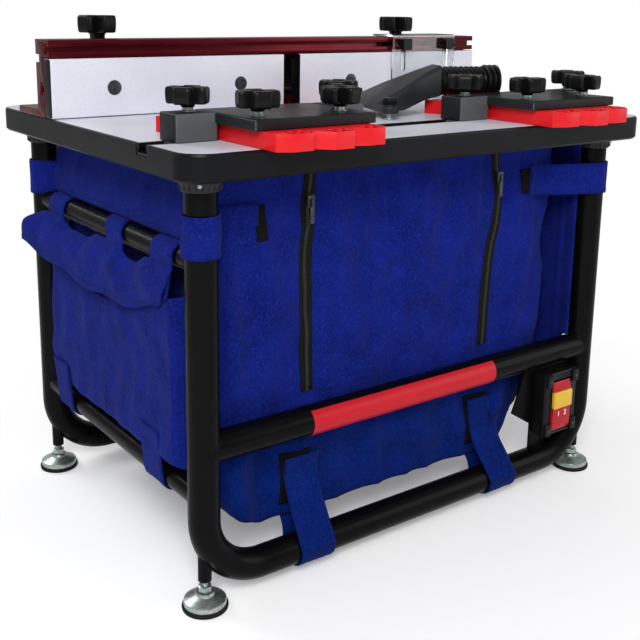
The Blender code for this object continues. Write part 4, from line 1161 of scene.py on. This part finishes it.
# %% Leg straps
REACH = TUBE + 0.0022
REAR_Z, NEAR_Z, RIGHT_Z = 0.4865, 0.4855, 0.493
for sx, sy, word in LEGS:
    if word == "front_right":
        continue
    z = NEAR_Z if word == "front_left" else REAR_Z
    leg = Vector((sx * LEG_X, sy * LEG_Y, z))
    wrap = [leg + Vector((-sx * a, sy * b, 0)) for a, b in arc((0, 0), REACH, -8, 190, 12)]
    ends = ((0.060, 0.0040), (0.030, 0.0036), (0.007, 0.0050))
    start = [(sx * (LEG_X - TUBE - back), sy * (BAG_Y + off), z) for back, off in ends]
    if word == "front_left":
        start = [on_front(-0.262, z), on_front(-0.295, z), on_front(-0.321, z, 0.0035)]
    ends = ((LEG_X + TUBE + 0.001, LEG_Y - 0.010), (0.352, 0.2165), (0.334, 0.196))
    end = [(sx * x, sy * y, z) for x, y in ends]
    strap(f"{word}_leg_strap", [*start, *wrap, *end], UP, 0.051, leg)
leg = Vector((LEG_X, -LEG_Y, RIGHT_Z))
wrap = [leg + Vector((a, -b, 0)) for a, b in arc((0, 0), REACH, 97, -20, 8)]
start = [on_front(0.229, RIGHT_Z), on_front(0.250, RIGHT_Z, 0.004), (0.292, -0.2440, RIGHT_Z)]
end = [(0.362, -0.2150, RIGHT_Z), (0.334, -0.1930, RIGHT_Z)]
strap("front_right_leg_strap", [*start, *wrap, *end], UP, 0.048, leg)
hook_patch("near_leg_hook_patch", -0.266, -0.249, 0.464, 0.508, 0.0016)
hook_patch("right_leg_hook_patch", 0.215, 0.233, 0.475, 0.511, 0.0016)
print("leg straps done")

# %% [markdown]
# Two straps hang from the lower front, pass in front of the bottom rail and under it, and come up
# behind to the bag's floor. Their upper ends sit on black hook patches, of which a margin shows. The
# rear has the same pair.

# %% Bottom straps
for x, slant, top, word in ((-0.190, 0.001, 0.158, "left"), (0.150, 0.014, 0.161, "right")):
    for sy, depth in FRONT_REAR:
        rail = Vector((x + slant, sy * LEG_Y, BOTTOM_Z))
        around_rail = [rail + Vector((0, sy * a, b)) for a, b in arc((0, 0), REACH, 18, -185, 12)]
        if depth == "front":
            start = [on_front(x, top, 0.0060), on_front(x, 0.130, 0.0064)]
            start.append((x + slant * 0.2, -0.2335, 0.095))
        else:
            start = [(x, 0.2200, top), (x, 0.2210, 0.130), (x + slant * 0.2, 0.2330, 0.095)]
        end = [(x + slant * 0.7, sy * 0.2165, 0.058), (x + slant * 0.4, sy * 0.2100, 0.0725)]
        path = [*start, *around_rail, *end]
        made = strap(f"{depth}_{word}_bottom_strap", path, (1, 0, 0), 0.055, rail)
        # The bottom straps take the darker copy of the cloth too: painted shade.
        made.data.materials[0] = painted_shade_nylon
    hook_patch(f"{word}_bottom_hook_patch", x - 0.0310, x + 0.016, 0.090, top + 0.005, 0.0014)
print("bottom straps done")

# %% [markdown]
# ## Zips
# Two zips close the front. Each is a dark tape that follows the bag's face, with a row of teeth down
# its middle. The slider at the top is a solid that can be pulled down; its pull tab rides with it.

# %% Zips
ZIP_WIDE, TOOTH_PITCH = 0.019, 0.0022
TAPE_COLUMNS = (-ZIP_WIDE / 2, -0.005, 0, 0.005, ZIP_WIDE / 2)
ZIPS = {
    "left": [(-0.176, 0.548), (-0.178, 0.500), (-0.180, 0.420), (-0.180, 0.330), (-0.178, 0.245)],
    "right": [(0.160, 0.548), (0.166, 0.510), (0.174, 0.470), (0.166, 0.425), (0.158, 0.390)]
    + [(0.153, 0.320), (0.151, 0.246)],
}
for word, places in ZIPS.items():
    line = smooth_path([(x, 0, z) for x, z in places], 0.005)
    rows = [
        [on_front(p.x + run.z * v, p.z - run.x * v, 0.0013) for v in TAPE_COLUMNS]
        for p, run in zip(line, runs_of(line))
    ]
    tape = piece(f"{word}_zip_tape", thickened(thin_cloth(rows), 0.0010), zip_tape)
    teeth = [on_front(p.x, p.z, 0.0026) for p in line]
    coil = row_along([teeth], slab(5.2, 1.6, 1.3, 0.3), TOOTH_PITCH, zip_nylon)
    piece(f"{word}_zip_teeth", coil, zip_nylon)
    body = f"zip_slider_{word}"
    low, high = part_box(body)
    x, y, z = (low.x + high.x) / 2, low.y - TABLE_Y, low.z
    tab = slab(6.2, 1.4, 24, 0.6, (x, y - 0.0014, z - 0.0080))
    bridge = slab(3.4, 3.0, 9.0, 0.8, (x, y - 0.0012, z + 0.0080))
    piece(f"{body}_pull", shaded(merged([tab, bridge])), dark_steel, body)
    frame["nodes"][body].data.materials[0] = dark_steel
print("zips done")


# %% [markdown]
# ## The side pocket
# A pouch hangs outside the left rails. Its cloth bellies out and runs back to the bag at both ends
# and below. The flap over its mouth is hung on loops round the upper rail, stands out at the back and
# droops at the front.

# %% Pouch and flap
def hung(name, rows, stands_for=()):
    """A cloth of the bag that hangs from a rail."""
    made = piece(name, thickened(thin_cloth(rows)), "blue_fabric", stands_for=stands_for)


def wavy(big, small, at, finer):
    """Two sizes of noise, for the waves of a hanging cloth."""
    return big * noise.noise(Vector(at)) + small * noise.noise(Vector(finer))


POUCH_X, POUCH_DEEP, POUCH_LOW, POUCH_FRONT, POUCH_BACK = -0.3372, 0.0355, 0.162, -0.2150, 0.205
MOUTH = [(-0.215, 0.404), (-0.178, 0.400), (-0.077, 0.374), (-0.008, 0.356), (0.100, 0.362), (0.205, 0.372)]
LOOPS = ((0.165, 0.056, -0.010, "rear"), (-0.020, 0.050, -0.030, "middle"), (-0.168, 0.058, -0.006, "near"))


def pouch_at(t, s):
    y = POUCH_FRONT + (POUCH_BACK - POUCH_FRONT) * s
    z = POUCH_LOW + (between(MOUTH, y) - POUCH_LOW) * t
    ends = ease((y - POUCH_FRONT) / 0.012) * ease((POUCH_BACK - y) / 0.030)
    full = ends * ease((z - POUCH_LOW) / 0.026 + 0.04)
    wave = wavy(0.0040, 0.0026, (y * 14, 2, z * 9), (y * 30, 7, z * 22))
    diagonal = 0.0045 * math.exp(-(((z - 0.33 + 0.45 * (y + 0.05)) / 0.020) ** 2))
    return Vector((POUCH_X - (POUCH_DEEP + wave + diagonal) * full, y, z))


def flap_at(t, s):
    y = -0.204 + 0.410 * s
    arch = min(abs(y - loop[0]) for loop in LOOPS) - 0.030
    top = Vector((-0.3705, y, 0.440 - (0.016 - 0.008 * s) * ease(arch / 0.035)))
    droop = 0.030 * math.sin(math.pi * s**0.75) - 0.003 * math.sin(s * 21)
    tip = Vector((-0.3840 - 0.022 * s * s, y + 0.006 * t, 0.397 - droop))
    swell = math.sin(math.pi * t) * (0.005 + 0.009 * s)
    crease = 0.0050 * noise.noise(Vector((y * 22, t * 2.0, 3))) * ease(t * 2)
    return top.lerp(tip, t) + Vector((-0.75, 0, 0.65)) * (swell + crease)


hung("pocket_pouch", grid(shares(49), 97, pouch_at), ("bag_side_pocket",))
rows = grid(shares(25), 97, flap_at)
hung("pocket_flap", rows)
STITCH_LINES.append([p + Vector((-0.0012, 0, 0.0006)) for p in rows[22]])
print("pocket done")

# %% [markdown]
# On each side a cloth hangs from the table to the upper rail. The left one ends in a hem on the rail,
# from which the loops go on. The right one goes down inside both rails; it shows beside the bag's
# front fold, next to the leg. A small gusset closes the corner beside the rear left leg.

# %% Side cloths
SKIRT_LOW, OVER_RAIL, RAIL_GAP = 0.4685, 0.2362, 0.0210


def skirt_at(t, s):
    y = -0.2175 + 0.435 * s
    wave = wavy(0.0028, 0.0014, (y * 20, 4, t * 1.5), (y * 47, 8, t * 3))
    x = -0.3338 - 0.0165 * ease(t * 1.15) + wave * math.sin(math.pi * t)
    return Vector((x, y, BAG_TOP + (SKIRT_LOW - BAG_TOP) * t))


rows = grid(shares(23), 97, skirt_at)
hung("left_side_skirt", rows)
STITCH_LINES.append([p + Vector((-0.0012, 0, 0.0004)) for p in rows[20]])

heights = [BAG_TOP + (OVER_RAIL - BAG_TOP) * t for t in shares(45)]
heights += [OVER_RAIL - 0.0016 * r for r in range(1, 14)] + [0.205, 0.194, 0.183, 0.172]


def right_side_at(z, s):
    t = (BAG_TOP - z) / (BAG_TOP - heights[-1])
    behind_rail = math.sqrt(max(0.0, RAIL_GAP**2 - max(0.0, z - CROSS_Z) ** 2))
    front = -0.2395 if z >= OVER_RAIL else -LEG_Y + behind_rail
    y = front - 2 * front * s
    fold = 0.0055 * math.exp(-(((y + 0.206) / 0.006) ** 2)) + 0.0035 * math.exp(-(((y - 0.05) / 0.02) ** 2))
    wave = wavy(0.0030, 0.0015, (y * 17, 6, t * 3), (y * 40, 3, t * 7))
    inward = min(0.0, -(fold + wave) * min(1.0, t * 5)) * (1 - ease((abs(y) - 0.215) / 0.010))
    return Vector((0.3342 - 0.0117 * ease((abs(y) - 0.205) / 0.028) + inward, y, z))


rows = grid(heights, 113, right_side_at)
hung("right_side_cloth", rows, ("bag_right_panel",))


def gusset_at(t, s):
    y = 0.196 + 0.046 * s
    return Vector((-0.3338 + 0.0080 * ease((y - 0.212) / 0.024), y, 0.462 - 0.090 * t))


hung("rear_left_gusset", grid(shares(25), 17, gusset_at))
print("side cloths done")

# %% [markdown]
# Wide loops of the bag's cloth go over the upper rail and carry the pocket; two more hold it to the
# lower rail.

# %% Rail loops
HOLD = SIDE_TUBE + 0.0020
for y, width, skew, word in LOOPS:
    rail = Vector((-LEG_X, y, UPPER_Z))
    over = [rail + Vector((a, 0, b)) for a, b in arc((0, 0), HOLD, 80, 190, 8)]
    start = [(-0.3475, y, 0.492), (-0.3505, y, 0.478)]
    end = [(-0.3705, y, 0.436), (-0.3745, y, 0.418), (-0.3790, y, 0.400)]
    strap(f"{word}_rail_loop", [*start, *over, *end], (0, 1, 0), width, rail, lean=skew)
for y, word in ((0.150, "rear"), (-0.140, "near")):
    rail = Vector((-LEG_X, y, LOWER_Z))
    under = [rail + Vector((a, 0, b)) for a, b in arc((0, 0), HOLD, 175, 355, 10)]
    path = [(-0.3755, y, 0.216), (-0.3725, y, 0.185), *under, (-0.3335, y, 0.176)]
    strap(f"{word}_lower_loop", path, (0, 1, 0), 0.054, rail)
print("loops done")

# %% [markdown]
# ## Stitches
# All the sewn lines gathered above become one row of thread, about three stitches to the centimetre.

# %% Stitches
STITCH_PITCH = 0.0038
for x0, x1 in ((-0.196, -0.198), (0.140, 0.134)):
    STITCH_LINES.append([on_front(x0 + (x1 - x0) * t, 0.545 - 0.295 * t, 0.0010) for t in shares(41)])
seams = row_along(STITCH_LINES, pill(2.8, 0.38), STITCH_PITCH, blue_thread)
piece("strap_stitches", seams, blue_thread)
print(len(STITCH_LINES), "sewn lines,", len(seams.polygons), "faces")


# %% [markdown]
# ## Red film on the cross rail
# The rail carries a band of red film. It is bare here, a strip bent round the front of the tube.

# %% Film band
FILM_FROM, FILM_LONG, FILM_HALF, FILM_RADIUS = -0.197, 0.336, 58, TUBE - 0.0002


def film_at(t, s):
    turn = math.radians(FILM_HALF * (2 * s - 1))
    y, z = -LEG_Y - FILM_RADIUS * math.cos(turn), CROSS_Z + FILM_RADIUS * math.sin(turn)
    return Vector((FILM_FROM + FILM_LONG * t, y, z))


film = shaded(thickened(thin_cloth(grid(shares(41), 21, film_at)), 0.0003), 30)
piece("rail_film_band", film, red_vinyl)
print("film band done")

# %% [markdown]
# ## Fasteners
# Flat-headed bolts hold the fence's face boards, small screws level the insert plate, and thumb
# screws with knurled rims hold the bit guard.

# %% Fasteners
BOLT = [(0, 0.3), (3.0, 0.3), (3.4, 0.9), (9.2, 1.0), (10.4, 0.6), (10.7, -0.4), (0, -0.4)]
LEVEL_SCREW = [(0, 0.1), (1.6, 0.1), (2.0, 0.6), (3.4, 0.6), (3.8, 0.2), (3.8, -0.2), (0, -0.2)]
FACE_Y, RIM, RIM_POINTS, RIM_PITCH, HEAD_HIGH = 0.0818, 0.0100, 40, 0.0017, 0.0108
BOLTS = {"left": ((-0.306, 0.631), (-0.096, 0.630)), "right": ((0.119, 0.628), (0.330, 0.628))}
for word, places in BOLTS.items():
    heads = set_at([(x, FACE_Y, z) for x, z in places], turned(BOLT, steps=40), (0, -1, 0), dark_steel)
    piece(f"fence_face_{word}_bolts", heads, dark_steel, f"fence_face_{word}")
places = [(sx * 0.141, 0.075 + sy * 0.103, TABLE_TOP) for sx in (-1, 1) for sy in (-1, 1)]
places += [(0, -0.028, TABLE_TOP), (0, 0.178, TABLE_TOP)]
screws = set_at(places, turned(LEVEL_SCREW, steps=20), UP, dark_steel)
piece("insert_screws", screws, dark_steel)
for _, word in FRONT_REAR:
    body = f"guard_screw_{word}"
    low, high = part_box(body)
    second_material(softened(body, 0.4), black_abs, lambda face: face.center.z > high.z - HEAD_HIGH)
    middle = Vector(((low.x + high.x) / 2, (low.y + high.y) / 2 - TABLE_Y, high.z - 0.006))
    turns = [2 * math.pi * t / RIM_POINTS for t in range(RIM_POINTS)]
    rim = [middle + Vector((RIM * math.cos(t), RIM * math.sin(t), 0)) for t in turns]
    knurl = row_along([rim], slab(0.6, 7.2, 0.8, 0.2), RIM_PITCH, black_abs, UP, closed=True)
    piece(f"{body}_knurl", knurl, black_abs, body)
print("fasteners done")

# %% [markdown]
# ## The switch
# A black housing with a raised frame round the paddle and four screws. The paddle carries two plain
# numerals.

# %% Switch details
DIMPLE = [(0, 0.4), (1.2, 0.4), (1.6, 1.0), (3.0, 1.0), (3.4, 0.4), (3.4, -0.4), (0, -0.4)]
NUMERAL_SIZE, NUMERAL_X, NUMERAL_Z, PRINT = 0.0125, 0.0075, 0.1175, 0.0002
softened("switch_box", 0.8)
low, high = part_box("switch_box")
x_mid, front = (low.x + high.x) / 2, low.y - TABLE_Y
places = [(x_mid + sx * 0.0293, front, z) for sx in (-1, 1) for z in (0.097, 0.179)]
screws = set_at(places, turned(DIMPLE, steps=20), (0, -1, 0), dark_steel)
piece("switch_screws", screws, dark_steel)
paddle_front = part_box("switch_paddle")[0].y - TABLE_Y
for number, side in (("1", -1), ("2", 1)):
    text = bpy.data.curves.new(f"numeral_{number}", "FONT")
    text.body = number
    text.size = NUMERAL_SIZE
    text.align_x = "CENTER"
    text.extrude = PRINT
    mesh = cleaned(drawn(bpy.data.objects.new("numeral", text)))
    place = Matrix.Translation((x_mid + side * NUMERAL_X, paddle_front - PRINT, NUMERAL_Z))
    mesh.transform(place @ Matrix.Rotation(math.radians(90), 4, "X"))
    piece(f"paddle_numeral_{number}", mesh, white_print, "switch_paddle")
print("switch done")

# %% [markdown]
# ## Sizes and finish
# The box of the dressed model is printed.

# %% Finish
low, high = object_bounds()
print("visual box", [round(v, 4) for v in (high - low)])
